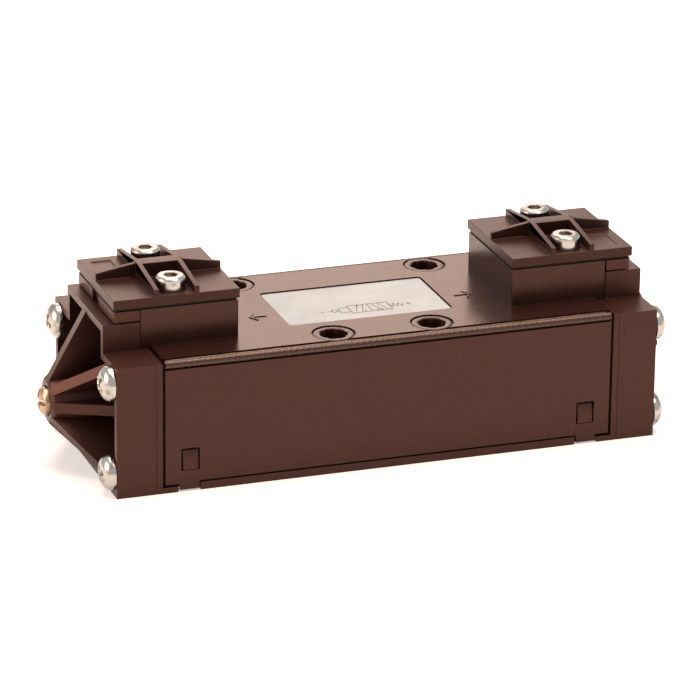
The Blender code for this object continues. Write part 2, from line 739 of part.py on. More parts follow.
def rib_profile(feet):
    """Both halves of a web. Each foot is (x, distance) where its sloping edge ends."""
    root = CAP_FLOOR_X - CAP_FLOOR / 2
    tip = NOSE_FACE_X - NOSE_CHAMFER / 3
    profile = []
    for (foot_x, reach), sign in zip(feet, (1, -1)):
        half = [(root, sign * reach), (foot_x, sign * reach), (tip, sign * RIB_START_RADIUS)]
        profile += half if sign > 0 else reversed(half)
    return profile


def cap_ribs():
    """The webs that run from the nose down to the walls and the floor."""
    wall = CAP_WALL / 2
    top = (CAP_RIM_X, CAP_BOX_TOP_Z - wall - AXIS_Z)
    bottom = (CAP_RIM_X, AXIS_Z - wall)
    lower = (CAP_RIM_X - LOWER_RIB_DROP, LOWER_RIB_FOOT)
    upper = (CAP_FLOOR_X, UPPER_RIB_FOOT)
    flat = (CAP_FLOOR_X, SIDE_RIB_FOOT)
    return [
        rib_plate(90, rib_profile((top, bottom))),
        rib_plate(0, rib_profile((flat, flat))),
        rib_plate(45, rib_profile((upper, lower))),
        rib_plate(135, rib_profile((upper, lower))),
    ]


def cap_nose():
    """The hub that carries the webs, tapered towards its face."""
    root = CAP_FLOOR_X - CAP_FLOOR / 2
    profile = (
        (root, 0),
        (root, NOSE_ROOT_RADIUS),
        (NOSE_FACE_X - NOSE_CHAMFER, NOSE_RADIUS),
        (NOSE_FACE_X, NOSE_RADIUS - NOSE_CHAMFER),
        (NOSE_FACE_X, 0),
    )
    return turned(profile, "X", (0, AXIS_Z), NOSE_STEPS)


def make_end_cap(name, side, nose_cutter, material):
    """A moulded end cap: stepped shell, open outwards, with webs from the nose."""
    low_outline = end_outline()
    cap = add_object(
        name, at_end(prism(low_outline, "X", CAP_INNER_X, CAP_RIM_X), side), material
    )
    low_z = END_HEIGHT - CAP_WALL
    head = [(y, max(z, low_z)) for y, z in ((-PAD_SIDE_Y, 0), (PAD_SIDE_Y, 0))]
    head += [(PAD_SIDE_Y, CAP_BOX_TOP_Z), (-PAD_SIDE_Y, CAP_BOX_TOP_Z)]
    fuse(cap, at_end(prism(head, "X", CAP_BOX_INNER_X, CAP_RIM_X), side))
    cavity = prism(cap_outline(CAP_WALL), "X", CAP_FLOOR_X, CAP_RIM_X + OVERRUN)
    cut(cap, at_end(cavity, side))
    fuse(cap, at_end(cap_nose(), side))
    for rib in cap_ribs():
        fuse(cap, at_end(rib, side))
    root, front = CAP_FLOOR_X - CAP_FLOOR / 2, CAP_RIM_X - SEAT
    bosses = [rod("X", place, CAP_BOSS_RADIUS, root, front) for place in cap_screw_places()]
    fuse(cap, at_end(merged(bosses), side))
    hole = CAP_SCREW_RADIUS + SCREW_CLEARANCE
    cut(cap, cap_screw_holes(hole, CAP_INNER_X - OVERRUN, CAP_RIM_X + OVERRUN, side))
    cut(cap, at_end(nose_cutter, side))
    return cap


def pin_hole_cutter():
    """The pilot cap's stepped bore: head room, pin bore and the clip's pocket."""
    head_end = NOSE_FACE_X + PIN_HEAD_PROUD - PIN_HEAD_LENGTH - SPOOL_STROKE - SCREW_CLEARANCE
    profile = (
        (CAP_INNER_X - OVERRUN, 0),
        (CAP_INNER_X - OVERRUN, PIN_CLIP_POCKET_RADIUS),
        (PIN_CLIP_X + PIN_CLIP_THICKNESS + SEAT, PIN_CLIP_POCKET_RADIUS),
        (PIN_CLIP_X + PIN_CLIP_THICKNESS + SEAT, PIN_RADIUS + RUNNING),
        (head_end, PIN_RADIUS + RUNNING),
        (head_end, PIN_HEAD_RADIUS + SCREW_CLEARANCE),
        (NOSE_FACE_X + OVERRUN, PIN_HEAD_RADIUS + SCREW_CLEARANCE),
        (NOSE_FACE_X + OVERRUN, 0),
    )
    return turned(profile, "X", (0, AXIS_Z), PIN_STEPS)


def spring_pocket_cutter():
    """The spring cap's blind pocket, which holds the far end of the return spring."""
    start = CAP_INNER_X - OVERRUN
    return rod("X", (0, AXIS_Z), SPRING_POCKET_RADIUS, start, SPRING_POCKET_END_X)


def make_override_pin(material):
    """The brass pin in the nose, with a cross-slotted head for a screwdriver."""
    tip = PISTON_FACE_X + SEAT
    head_top = NOSE_FACE_X + PIN_HEAD_PROUD
    head_low = head_top - PIN_HEAD_LENGTH
    groove = PIN_SEAL_RADIUS * 2 - RUNNING
    seal_low, seal_high = PIN_SEAL_X - PIN_SEAL_RADIUS * 1.3, PIN_SEAL_X + PIN_SEAL_RADIUS * 1.3
    clip_high = PIN_CLIP_X + PIN_CLIP_THICKNESS
    profile = (
        (tip, 0),
        (tip, PIN_RADIUS),
        (PIN_CLIP_X - SEAT, PIN_RADIUS),
        (PIN_CLIP_X - SEAT, PIN_RADIUS - PIN_CLIP_GROOVE),
        (clip_high + SEAT, PIN_RADIUS - PIN_CLIP_GROOVE),
        (clip_high + SEAT, PIN_RADIUS),
        (seal_low, PIN_RADIUS),
        (seal_low, PIN_RADIUS - groove),
        (seal_high, PIN_RADIUS - groove),
        (seal_high, PIN_RADIUS),
        (head_low, PIN_RADIUS),
        (head_low, PIN_HEAD_RADIUS),
        (head_top - PIN_HEAD_DOME, PIN_HEAD_RADIUS),
        (head_top - PIN_HEAD_DOME / 3, PIN_HEAD_RADIUS * 0.78),
        (head_top, PIN_HEAD_RADIUS * 0.4),
        (head_top, 0),
    )
    pin = add_object(
        "override_pin",
        at_end(turned(profile, "X", (0, AXIS_Z), PIN_STEPS), -1),
        material,
        smooth=True,
    )
    half, reach = PIN_SLOT_WIDTH / 2, PIN_HEAD_RADIUS + OVERRUN
    cross = [(half, half), (half, reach), (-half, reach), (-half, half)]
    outline = []
    for quarter in range(4):
        turn = Matrix.Rotation(math.radians(90 * quarter), 2)
        outline += [tuple(turn @ Vector(point)) for point in cross[:-1]]
    outline = [(y, z + AXIS_Z) for y, z in outline]
    slots = prism(outline, "X", head_top - PIN_SLOT_DEPTH, head_top + OVERRUN)
    cut(pin, at_end(slots, -1))
    return pin


def make_pin_clip(material):
    """The open retaining clip that keeps the override pin in the nose."""
    inner = PIN_RADIUS - PIN_CLIP_GROOVE + SEAT
    outer = PIN_CLIP_RADIUS
    opening = 35
    outline = arc((0, AXIS_Z), outer, 270 + opening, 630 - opening, PIN_STEPS)
    outline += arc((0, AXIS_Z), inner, 630 - opening, 270 + opening, PIN_STEPS)
    shape = prism(outline, "X", PIN_CLIP_X, PIN_CLIP_X + PIN_CLIP_THICKNESS)
    return add_object("override_pin_clip", at_end(shape, -1), material)


def make_seal_ring(name, middle, outer_radius, tube_radius, steps, material, side=1):
    """An O-ring about the spool axis."""
    shape = ring_tube(middle, outer_radius - tube_radius, tube_radius, steps)
    return add_object(name, at_end(shape, side), material, smooth=True)


def make_bore_seal(index, middle, material):
    """A lip seal of the stack. Its lips run on the spool's lands."""
    half, lip = SEAL_WIDTH / 2, SEAL_LIP
    inner, outer = SPOOL_RADIUS + RUNNING, STACK_RADIUS
    profile = (
        (middle - half, inner + lip),
        (middle - half + lip, inner),
        (middle + half - lip, inner),
        (middle + half, inner + lip),
        (middle + half, outer),
        (middle - half, outer),
    )
    shape = turned(profile, "X", (0, AXIS_Z), STACK_STEPS, closed_ring=True)
    return add_object(f"bore_seal_{index}", shape, material, smooth=True)


def make_spacer(port, middle, material):
    """A ported spacer that holds two seals apart, with windows all round."""
    half = SPACER_LENGTH / 2
    profile = (
        (middle - half, SPACER_INNER_RADIUS),
        (middle + half, SPACER_INNER_RADIUS),
        (middle + half, STACK_RADIUS),
        (middle - half, STACK_RADIUS),
    )
    shape = turned(profile, "X", (0, AXIS_Z), STACK_STEPS, closed_ring=True)
    spacer = add_object(f"port_spacer_{port}", shape, material, smooth=True)
    reach = STACK_RADIUS + OVERRUN
    bend = SPACER_WINDOW_ARC / 2 / math.tan(math.pi / SPACER_WINDOWS)
    outline = []
    for window in range(SPACER_WINDOWS):
        turn = Matrix.Rotation(2 * math.pi * window / SPACER_WINDOWS, 2)
        corners = ((reach, -SPACER_WINDOW_ARC / 2), (reach, SPACER_WINDOW_ARC / 2))
        outline += [tuple(turn @ Vector(point)) for point in corners]
        outline.append(tuple(turn @ Vector((bend, SPACER_WINDOW_ARC / 2))))
    outline = [(y, z + AXIS_Z) for y, z in outline]
    start, end = middle - SPACER_WINDOW_WIDTH / 2, middle + SPACER_WINDOW_WIDTH / 2
    cut(spacer, prism(outline, "X", start, end))
    return spacer


def land_ranges():
    """Where the spool is full size, so that each seal is on a land or over a neck as it should be.

    At rest air goes from port 1 to 2 and from 4 to 5. Moved by its stroke, it goes from 1 to 4
    and from 2 to 3.
    """
    seals = [(step - 2.5) * STATION_PITCH for step in range(6)]
    half = SPOOL_STROKE / 2
    edge = SEAL_WIDTH / 2 + LAND_EDGE
    return [
        (seals[0] - SPOOL_STROKE - edge, seals[0] + edge),
        (seals[1] - half - LAND_WIDTH, seals[1] - half),
        (seals[2] - half, seals[2] - half + LAND_WIDTH),
        (seals[3] - half - LAND_WIDTH, seals[3] - half),
        (seals[4] - half, seals[4] - half + LAND_WIDTH),
        (seals[5] - SPOOL_STROKE - edge, seals[5] + edge),
    ]


def make_spool(material):
    """The spool, turned in one piece, at rest against the pilot end."""
    lands = land_ranges()
    left, right = -PISTON_BACK_X + SEAT, lands[-1][1]
    profile = [(left, 0), (left, SPOOL_NOSE_RADIUS), (lands[0][0], SPOOL_NOSE_RADIUS)]
    for index, (start, end) in enumerate(lands):
        if index:
            profile.append((start, SPOOL_NECK_RADIUS))
        profile += [(start, SPOOL_RADIUS - LAND_EDGE), (start + LAND_EDGE, SPOOL_RADIUS)]
        profile += [(end - LAND_EDGE, SPOOL_RADIUS), (end, SPOOL_RADIUS - LAND_EDGE)]
        if index < len(lands) - 1:
            profile.append((end, SPOOL_NECK_RADIUS))
    profile.append((right, 0))
    shape = turned(profile, "X", (0, AXIS_Z), STACK_STEPS)
    return add_object("spool", shape, material, smooth=True)


def make_piston(material):
    """The pilot piston, with the groove of its seal."""
    groove = PISTON_RING_RADIUS * 2 - RUNNING
    middle = (PISTON_FACE_X + PISTON_BACK_X) / 2
    half = PISTON_RING_RADIUS * 1.2
    profile = (
        (PISTON_BACK_X, 0),
        (PISTON_BACK_X, PISTON_RADIUS),
        (middle - half, PISTON_RADIUS),
        (middle - half, PISTON_RADIUS - groove),
        (middle + half, PISTON_RADIUS - groove),
        (middle + half, PISTON_RADIUS),
        (PISTON_FACE_X, PISTON_RADIUS),
        (PISTON_FACE_X, 0),
    )
    shape = at_end(turned(profile, "X", (0, AXIS_Z), STACK_STEPS), -1)
    return add_object("pilot_piston", shape, material, smooth=True)


def make_liner(name, side, floor, material):
    """A cup-shaped liner that holds the stack in the bore. Its floor guides the spool's end."""
    start, end = LINER_START_X, BODY_END_X
    inner = SPOOL_RADIUS + SLIP + RUNNING
    profile = (
        (start, inner),
        (start, STACK_RADIUS),
        (end, STACK_RADIUS),
        (end, LINER_INNER_RADIUS),
        (floor, LINER_INNER_RADIUS),
        (floor, inner),
    )
    shape = turned(profile, "X", (0, AXIS_Z), STACK_STEPS, closed_ring=True)
    return add_object(name, at_end(shape, side), material, smooth=True)


def spring_ends():
    """The two ends of the return spring along X, at rest."""
    guide = land_ranges()[-1][1] + SEAT + GUIDE_THICKNESS
    return guide + SEAT, SPRING_POCKET_END_X - SEAT


def make_spring_guide(material):
    """The collar between the spool and the return spring."""
    start = land_ranges()[-1][1] + SEAT
    profile = (
        (start, 0),
        (start, GUIDE_RADIUS),
        (start + GUIDE_THICKNESS, GUIDE_RADIUS),
        (start + GUIDE_THICKNESS, GUIDE_PEG_RADIUS),
        (start + GUIDE_THICKNESS + GUIDE_PEG_LENGTH, GUIDE_PEG_RADIUS * 0.8),
        (start + GUIDE_THICKNESS + GUIDE_PEG_LENGTH, 0),
    )
    shape = turned(profile, "X", (0, AXIS_Z), PIN_STEPS)
    return add_object("spring_guide", shape, material, smooth=True)


def make_return_spring(material):
    """A compression spring with closed ends, as one wire swept along a helix."""
    start, end = spring_ends()
    wire = SPRING_WIRE / 2
    count = SPRING_TURNS * SPRING_STEPS_PER_TURN
    low, high = start + wire, end - wire
    closed = SPRING_STEPS_PER_TURN
    slow = SPRING_WIRE * 1.06 / closed
    fast = (high - low - 2 * closed * slow) / (count - 2 * closed)
    shape = bmesh.new()
    rings = []
    along = low
    for index in range(count + 1):
        angle = 2 * math.pi * index / SPRING_STEPS_PER_TURN
        outward = Vector((0, math.cos(angle), math.sin(angle)))
        middle = Vector((along, 0, AXIS_Z)) + SPRING_RADIUS * outward
        ring = []
        for corner in range(SPRING_WIRE_STEPS):
            turn = 2 * math.pi * corner / SPRING_WIRE_STEPS
            offset = Vector((math.cos(turn), 0, 0)) + math.sin(turn) * outward
            ring.append(shape.verts.new(middle + wire * offset))
        rings.append(ring)
        near_end = index < closed or index >= count - closed
        along += slow if near_end else fast
    for first, second in zip(rings, rings[1:]):
        for corner in range(SPRING_WIRE_STEPS):
            after = (corner + 1) % SPRING_WIRE_STEPS
            shape.faces.new((first[corner], first[after], second[after], second[corner]))
    shape.faces.new(rings[0])
    shape.faces.new(reversed(rings[-1]))
    return add_object("return_spring", shape, material, smooth=True)


def make_cap_screw(name, side, place, material):
    """A pan-head screw that holds an end cap to the housing."""
    seat = CAP_RIM_X + SEAT
    tip = seat - CAP_SCREW_LENGTH
    radius, height = CAP_HEAD_RADIUS, CAP_HEAD_HEIGHT
    profile = (
        (tip, 0),
        (tip, CAP_SCREW_RADIUS * 0.7),
        (tip + CAP_SCREW_RADIUS * 0.5, CAP_SCREW_RADIUS),
        (seat, CAP_SCREW_RADIUS),
        (seat, radius * 0.94),
        (seat + height * 0.25, radius),
        (seat + height * 0.62, radius * 0.9),
        (seat + height * 0.88, radius * 0.62),
        (seat + height, radius * 0.25),
        (seat + height, 0),
    )
    shape = turned(profile, "X", place, SCREW_STEPS)
    return add_object(name, at_end(shape, side), material, smooth=True)


def make_cover_screw(name, place, material):
    """A socket-head screw of a pilot pad cover."""
    low, top = COVER_HEAD_Z, COVER_HEAD_Z + COVER_HEAD_HEIGHT
    tip = low - COVER_SCREW_LENGTH
    profile = (
        (tip, 0),
        (tip, COVER_SCREW_RADIUS * 0.7),
        (tip + COVER_SCREW_RADIUS * 0.5, COVER_SCREW_RADIUS),
        (low, COVER_SCREW_RADIUS),
        (low, COVER_HEAD_RADIUS),
        (top - COVER_HEAD_EDGE, COVER_HEAD_RADIUS),
        (top, COVER_HEAD_RADIUS - COVER_HEAD_EDGE),
        (top, 0),
    )
    screw = add_object(name, turned(profile, "Z", place, SCREW_STEPS), material, smooth=True)
    hexagon = arc(place, HEX_ACROSS_FLATS / math.sqrt(3), 0, 300, 5)
    cut(screw, prism(hexagon, "Z", top - HEX_DEPTH, top + OVERRUN))
    return screw


def cover_ribs():
    """The ribs on the cover at the +X end: two across, a bar between them, and two arms."""
    half = COVER_LENGTH / 2
    low = COVER_TOP_Z - COVER_THICKNESS / 2
    end, middle = COVER_TOP_Z + RIB_END_HEIGHT, COVER_TOP_Z + RIB_MIDDLE_HEIGHT
    across = (
        (-half, low),
        (half, low),
        (half, end),
        (BAR_WIDTH / 2, middle),
        (-BAR_WIDTH / 2, middle),
        (-half, end),
    )
    shapes = []
    for side in (-1, 1):
        x = COVER_CENTRE_X + side * RIB_SPACING / 2
        shapes.append(prism(across, "X", x - RIB_WIDTH / 2, x + RIB_WIDTH / 2))
    rib_x = RIB_SPACING / 2
    bar_low, bar_high = COVER_CENTRE_X - rib_x, COVER_CENTRE_X + rib_x
    bar = box((bar_low, -BAR_WIDTH / 2, low), (bar_high, BAR_WIDTH / 2, middle))
    arms = (
        (COVER_CENTRE_X - half, low),
        (COVER_CENTRE_X + half, low),
        (COVER_CENTRE_X + half, end),
        (COVER_CENTRE_X + rib_x, middle),
        (COVER_CENTRE_X - rib_x, middle),
        (COVER_CENTRE_X - half, end),
    )
    return shapes, bar, prism(arms, "Y", -RIB_WIDTH / 2, RIB_WIDTH / 2)


def make_cover(name, side, material):
    """A ribbed cover that blanks a pilot pad."""
    half = COVER_LENGTH / 2
    low_x, high_x = COVER_CENTRE_X - half, COVER_CENTRE_X + half
    plate = box((low_x, -half, COVER_BOTTOM_Z), (high_x, half, COVER_TOP_Z))
    cover = add_object(name, at_end(plate, side), material)
    across, bar, arms = cover_ribs()
    fuse(cover, at_end(arms, side))
    fuse(cover, at_end(merged(across), side))
    fuse(cover, at_end(bar, side))
    recess_x = high_x - COVER_RECESS_MARGIN
    recess = box(
        (recess_x - COVER_RECESS_LENGTH, -half + COVER_RECESS_MARGIN, COVER_TOP_Z - COVER_RECESS_DEPTH),
        (recess_x, -half + COVER_RECESS_MARGIN + COVER_RECESS_WIDTH, COVER_TOP_Z + SEAT),
    )
    cut(cover, at_end(recess, side))
    seats, holes = [], []
    for place in cover_screw_places(1):
        seats.append(
            rod(
                "Z",
                place,
                COVER_HEAD_RADIUS + SLIP,
                COVER_TOP_Z - COVER_HEAD_SUNK,
                COVER_TOP_Z + RIB_END_HEIGHT,
                SCREW_STEPS,
            )
        )
        hole = COVER_SCREW_RADIUS + SCREW_CLEARANCE
        holes.append(rod("Z", place, hole, PAD_TOP_Z, COVER_TOP_Z + SEAT, SCREW_STEPS))
    cut(cover, at_end(merged(seats), side))
    cut(cover, at_end(merged(holes), side))
    return cover


def make_cover_gasket(name, side, material):
    """The sheet gasket under a cover."""
    outline = rounded_rectangle(
        (COVER_CENTRE_X, 0),
        COVER_LENGTH - 2 * COVER_GASKET_INSET,
        PAD_WIDTH - 2 * COVER_GASKET_INSET,
        INSERT_CORNER,
        3,
    )
    low = PAD_TOP_Z + SEAT
    shape = prism(outline, "Z", low, low + COVER_GASKET)
    gasket = add_object(name, at_end(shape, side), material)
    hole = COVER_SCREW_RADIUS + SCREW_CLEARANCE
    holes = [
        rod("Z", place, hole, PAD_TOP_Z - OVERRUN, COVER_TOP_Z, SCREW_STEPS)
        for place in cover_screw_places(1)
    ]
    cut(gasket, at_end(merged(holes), side))
    return gasket


def make_pad_insert(name, side, material):
    """The filler plate that carries a cover's outer end above the cap's box."""
    inner, outer, half = PAD_OUTER_X + SEAT, INSERT_OUTER_X, INSERT_WIDTH / 2
    corner = INSERT_CORNER
    outline = [(inner, -half)]
    outline += arc((outer - corner, -half + corner), corner, -90, 0, ARC_STEPS)
    notch = INSERT_NOTCH_WIDTH / 2
    outline += [(outer, -notch), (outer - INSERT_NOTCH_DEPTH, -notch)]
    outline += [(outer - INSERT_NOTCH_DEPTH, notch), (outer, notch)]
    outline += arc((outer - corner, half - corner), corner, 0, 90, ARC_STEPS)
    outline += [(inner, half)]
    shape = prism(outline, "Z", PAD_TOP_Z - INSERT_THICKNESS, PAD_TOP_Z)
    return add_object(name, at_end(shape, side), material)


def make_materials():
    """Every material of the valve, by the name of what it is."""
    return {
        "paint": make_material("dark painted casting", (0.078, 0.036, 0.031), 0.45),
        "plastic": make_material("dark moulded plastic", (0.086, 0.038, 0.032), 0.42),
        "zinc": make_material("zinc plated steel", (0.72, 0.69, 0.64), 0.22, 1.0),
        "brass": make_material("brass", (0.66, 0.42, 0.24), 0.3, 1.0),
        "label": make_material("pale label", (0.80, 0.76, 0.70), 0.5),
        "rubber": make_material("black rubber", (0.012, 0.011, 0.011), 0.7),
        "aluminium": make_material("turned aluminium", (0.70, 0.70, 0.71), 0.25, 1.0),
        "resin": make_material("white acetal", (0.78, 0.77, 0.73), 0.4),
        "steel": make_material("spring steel", (0.42, 0.41, 0.40), 0.3, 1.0),
    }


def make_ends(materials):
    """What each end carries, from the housing outwards."""
    paint, plastic = materials["paint"], materials["plastic"]
    rubber, zinc = materials["rubber"], materials["zinc"]
    ends = (
        ("pilot", -1, PIN_RADIUS + 2 * SCREW_CLEARANCE, pin_hole_cutter),
        ("spring", 1, SPRING_POCKET_RADIUS, spring_pocket_cutter),
    )
    for end, side, plate_hole, nose_cutter in ends:
        make_end_gasket(f"{end}_end_gasket", side, rubber)
        make_end_plate(f"{end}_end_plate", side, plate_hole, plastic)
        make_end_cap(f"{end}_end_cap", side, nose_cutter(), plastic)
        make_cover(f"{end}_pad_cover", side, plastic)
        make_cover_gasket(f"{end}_cover_gasket", side, rubber)
        make_pad_insert(f"{end}_pad_insert", side, paint)
        for index, place in enumerate(cap_screw_places(), 1):
            make_cap_screw(f"{end}_cap_screw_{index}", side, place, zinc)
        for index, place in enumerate(cover_screw_places(side), 1):
            make_cover_screw(f"{end}_cover_screw_{index}", place, zinc)


def make_inside(materials):
    """The stack in the bore and everything that moves."""
    for index in range(6):
        make_bore_seal(index + 1, (index - 2.5) * STATION_PITCH, materials["rubber"])
    for port, middle in zip((5, 4, 1, 2, 3), STATIONS):
        make_spacer(port, middle, materials["resin"])
    make_liner("pilot_liner", -1, PISTON_STOP_X, materials["resin"])
    make_liner("spring_liner", 1, LINER_START_X + SPRING_LINER_FLOOR, materials["resin"])
    make_spool(materials["aluminium"])
    make_piston(materials["resin"])
    middle = (PISTON_FACE_X + PISTON_BACK_X) / 2
    outer = PISTON_RADIUS + SLIP - RUNNING
    rubber = materials["rubber"]
    make_seal_ring("piston_seal", middle, outer, PISTON_RING_RADIUS, STACK_STEPS, rubber, -1)
    make_spring_guide(materials["resin"])
    make_return_spring(materials["steel"])
    make_override_pin(materials["brass"])
    outer = PIN_RADIUS + RUNNING / 2
    make_seal_ring("override_pin_seal", PIN_SEAL_X, outer, PIN_SEAL_RADIUS, PIN_STEPS, rubber, -1)
    make_pin_clip(materials["steel"])


def main():
    clear_scene()
    materials = make_materials()
    make_body(materials["paint"])
    make_base_plate(materials["plastic"])
    make_base_seal(materials["rubber"])
    make_label(materials["label"])
    make_ends(materials)
    make_inside(materials)


main()
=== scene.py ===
"""Looks of a sub-base spool valve with ribbed end caps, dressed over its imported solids.

Every length is in metres, in the frame of the solids: X runs along the spool, Z is up, and the
valve stands on Z = 0. New pieces are surfaces of two parameters worked out with numpy. The
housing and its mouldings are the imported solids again, with their edges rounded.
"""

from __future__ import annotations

import logging
import math
from collections.abc import Iterable, Sequence
from dataclasses import dataclass
from enum import Enum
from typing import Any

import bmesh
import bpy
import numpy as np
from mathutils import Matrix, Vector

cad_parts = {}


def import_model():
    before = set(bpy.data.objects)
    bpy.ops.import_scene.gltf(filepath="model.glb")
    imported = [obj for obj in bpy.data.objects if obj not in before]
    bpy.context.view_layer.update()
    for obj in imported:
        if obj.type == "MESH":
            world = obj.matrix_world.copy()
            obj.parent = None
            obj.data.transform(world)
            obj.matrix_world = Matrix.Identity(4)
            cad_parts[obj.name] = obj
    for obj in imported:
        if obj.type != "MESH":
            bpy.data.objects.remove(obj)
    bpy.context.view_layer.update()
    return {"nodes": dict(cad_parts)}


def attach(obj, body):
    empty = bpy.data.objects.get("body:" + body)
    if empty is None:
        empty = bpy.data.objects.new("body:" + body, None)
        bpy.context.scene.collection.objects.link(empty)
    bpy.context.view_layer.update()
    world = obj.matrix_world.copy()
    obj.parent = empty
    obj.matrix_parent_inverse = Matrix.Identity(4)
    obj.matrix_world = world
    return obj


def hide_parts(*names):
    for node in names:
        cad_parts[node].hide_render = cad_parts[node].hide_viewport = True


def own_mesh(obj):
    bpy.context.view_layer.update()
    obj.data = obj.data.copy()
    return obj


LOG = logging.getLogger("valve")
MM = 0.001
SEAM = 2e-7
SLIVER = 1e-8
SOLID_SEAM = 1e-6
WARM = (1.0, 0.85, 0.74)
AMBER = (1.0, 0.71, 0.55)
Array = np.ndarray
Colour = tuple[float, float, float]


class Body(Enum):
    """The rigid bodies that the new pieces ride on."""

    HOUSING = "housing"
    PIN = "override_pin"


class End(Enum):
    """The two ends of the valve, as the sign of X."""

    PILOT = -1
    SPRING = 1

    @property
    def word(self) -> str:
        """The end's word in the names of its solids."""
        return self.name.lower()


class Axis(Enum):
    """The line that a turned piece is turned about."""

    X = "X"
    Z = "Z"


class Wire:
    """A socket of a material's node tree that arithmetic can be done on."""

    def __init__(self, shade: Nodes, socket: Any) -> None:
        """Keeps the socket and the tree that it is in."""
        self.shade = shade
        self.socket = socket

    def _math(self, operation: str, *values: Wire | float) -> Wire:
        """Adds one Math node.

        Args:
            operation: The node's operation.
            values: Its inputs in order.

        Returns:
            The node's output.
        """
        return self.shade.node("ShaderNodeMath", {"operation": operation}, dict(enumerate(values)))

    def __add__(self, other: Wire | float) -> Wire:
        """self + other."""
        return self._math("ADD", self, other)

    def __radd__(self, other: float) -> Wire:
        """other + self."""
        return self._math("ADD", other, self)

    def __sub__(self, other: Wire | float) -> Wire:
        """self - other."""
        return self._math("SUBTRACT", self, other)

    def __rsub__(self, other: float) -> Wire:
        """other - self."""
        return self._math("SUBTRACT", other, self)

    def __mul__(self, other: Wire | float) -> Wire:
        """self * other."""
        return self._math("MULTIPLY", self, other)

    def __rmul__(self, other: float) -> Wire:
        """other * self."""
        return self._math("MULTIPLY", other, self)

    def most(self, other: Wire | float) -> Wire:
        """The greater of both."""
        return self._math("MAXIMUM", self, other)

    def wave(self) -> Wire:
        """The sine of the value."""
        return self._math("SINE", self)

    def step(self, low: float, high: float) -> Wire:
        """A smooth step.

        Args:
            low: The value that gives 0.
            high: The value that gives 1.

        Returns:
            0 to 1, with soft ends.
        """
        settings = {"interpolation_type": "SMOOTHSTEP"}
        values = {"Value": self, "From Min": low, "From Max": high}
        return self.shade.node("ShaderNodeMapRange", settings, values, "Result")


class Nodes:
    """A node tree, emptied, and the nodes that are added to it."""

    def __init__(self, owner: Any) -> None:
        """Empties the tree.

        Args:
            owner: The material or the world that the tree belongs to.
        """
        owner.use_nodes = True
        self.tree = owner.node_tree
        self.tree.nodes.clear()

    def put(self, socket: Any, value: Any) -> None:
        """Links a wire to a socket, or sets the socket's own value.

        Args:
            socket: The input.
            value: A wire, a number, a vector or a colour.
        """
        if isinstance(value, Wire):
            self.tree.links.new(value.socket, socket)
        elif isinstance(value, (tuple, list)) and len(value) == 3 and socket.type == "RGBA":
            socket.default_value = (*value, 1.0)
        else:
            socket.default_value = value

    def node(
        self,
        kind: str,
        settings: dict[str, Any] | None = None,
        inputs: dict[str | int, Any] | None = None,
        output: str | int = 0,
    ) -> Wire:
        """Adds a node of any kind.

        Args:
            kind: The node's type.
            settings: What is set on the node before its inputs.
            inputs: Values or wires, by the socket's name or number.
            output: The socket that is handed back.

        Returns:
            The chosen output.
        """
        node = self.tree.nodes.new(kind)
        for key, value in (settings or {}).items():
            setattr(node, key, value)
        for key, value in (inputs or {}).items():
            self.put(node.inputs[key], value)
        return Wire(self, node.outputs[output] if node.outputs else None)

    def seen(self) -> Wire:
        """Tells rays that look at a thing from rays that only light it.

        Returns:
            1 for rays from the camera and through reflections or glass, 0 for plain light.
        """
        rays = ("Is Camera Ray", "Is Glossy Ray", "Is Transmission Ray")
        camera, glossy, clear = (self.node("ShaderNodeLightPath", output=ray) for ray in rays)
        return camera.most(glossy).most(clear)


class Shade(Nodes):
    """One material with a Principled shader at its end."""

    def __init__(self, name: str) -> None:
        """Makes the material."""
        self.material = bpy.data.materials.new(name)
        super().__init__(self.material)

    def spot(self) -> Wire:
        """The object coordinates, in metres."""
        return self.node("ShaderNodeTexCoord", output="Object")

    def along(self, axis: Axis) -> Wire:
        """One of the object coordinates, in metres."""
        return self.node("ShaderNodeSeparateXYZ", None, {"Vector": self.spot()}, axis.value)

    def noise(
        self, size: float, detail: float = 2.0, stretch: Sequence[float] = (1, 1, 1)
    ) -> Wire:
        """Soft noise.

        Args:
            size: How large its lumps are, in metres.
            detail: How many finer layers it has.
            stretch: How often the lumps come along each axis.

        Returns:
            A value of about 0.2 to 0.8.
        """
        scaled = {"Vector": self.spot(), "Scale": tuple(stretch)}
        place = self.node("ShaderNodeMapping", None, scaled)
        values = {"Vector": place, "Scale": 1 / size, "Detail": detail}
        return self.node("ShaderNodeTexNoise", None, values, "Fac")

    def mix(self, factor: Wire | float, first: Any, second: Any) -> Wire:
        """A colour between two colours, which are inputs 6 and 7 of the node and its output 2."""
        inputs = {0: factor, 6: first, 7: second}
        return self.node("ShaderNodeMix", {"data_type": "RGBA"}, inputs, 2)

    def relief(self, height: Wire, depth: float) -> Wire:
        """A normal that is bent by a height of 0 to 1 that stands for depth metres."""
        return self.node("ShaderNodeBump", None, {"Distance": depth, "Height": height}, "Normal")

    def finish(self, **inputs: Any) -> bpy.types.Material:
        """Adds the shader.

        Args:
            inputs: Its inputs, by their names with underscores for spaces.

        Returns:
            The material.
        """
        values = {key.replace("_", " "): value for key, value in inputs.items()}
        shader = self.node("ShaderNodeBsdfPrincipled", None, values)
        self.node("ShaderNodeOutputMaterial", None, {"Surface": shader})
        return self.material


def tinted(colour: Colour, share: float) -> tuple[float, ...]:
    """A colour that is darker or paler by a share."""
    return tuple(value * share for value in colour)


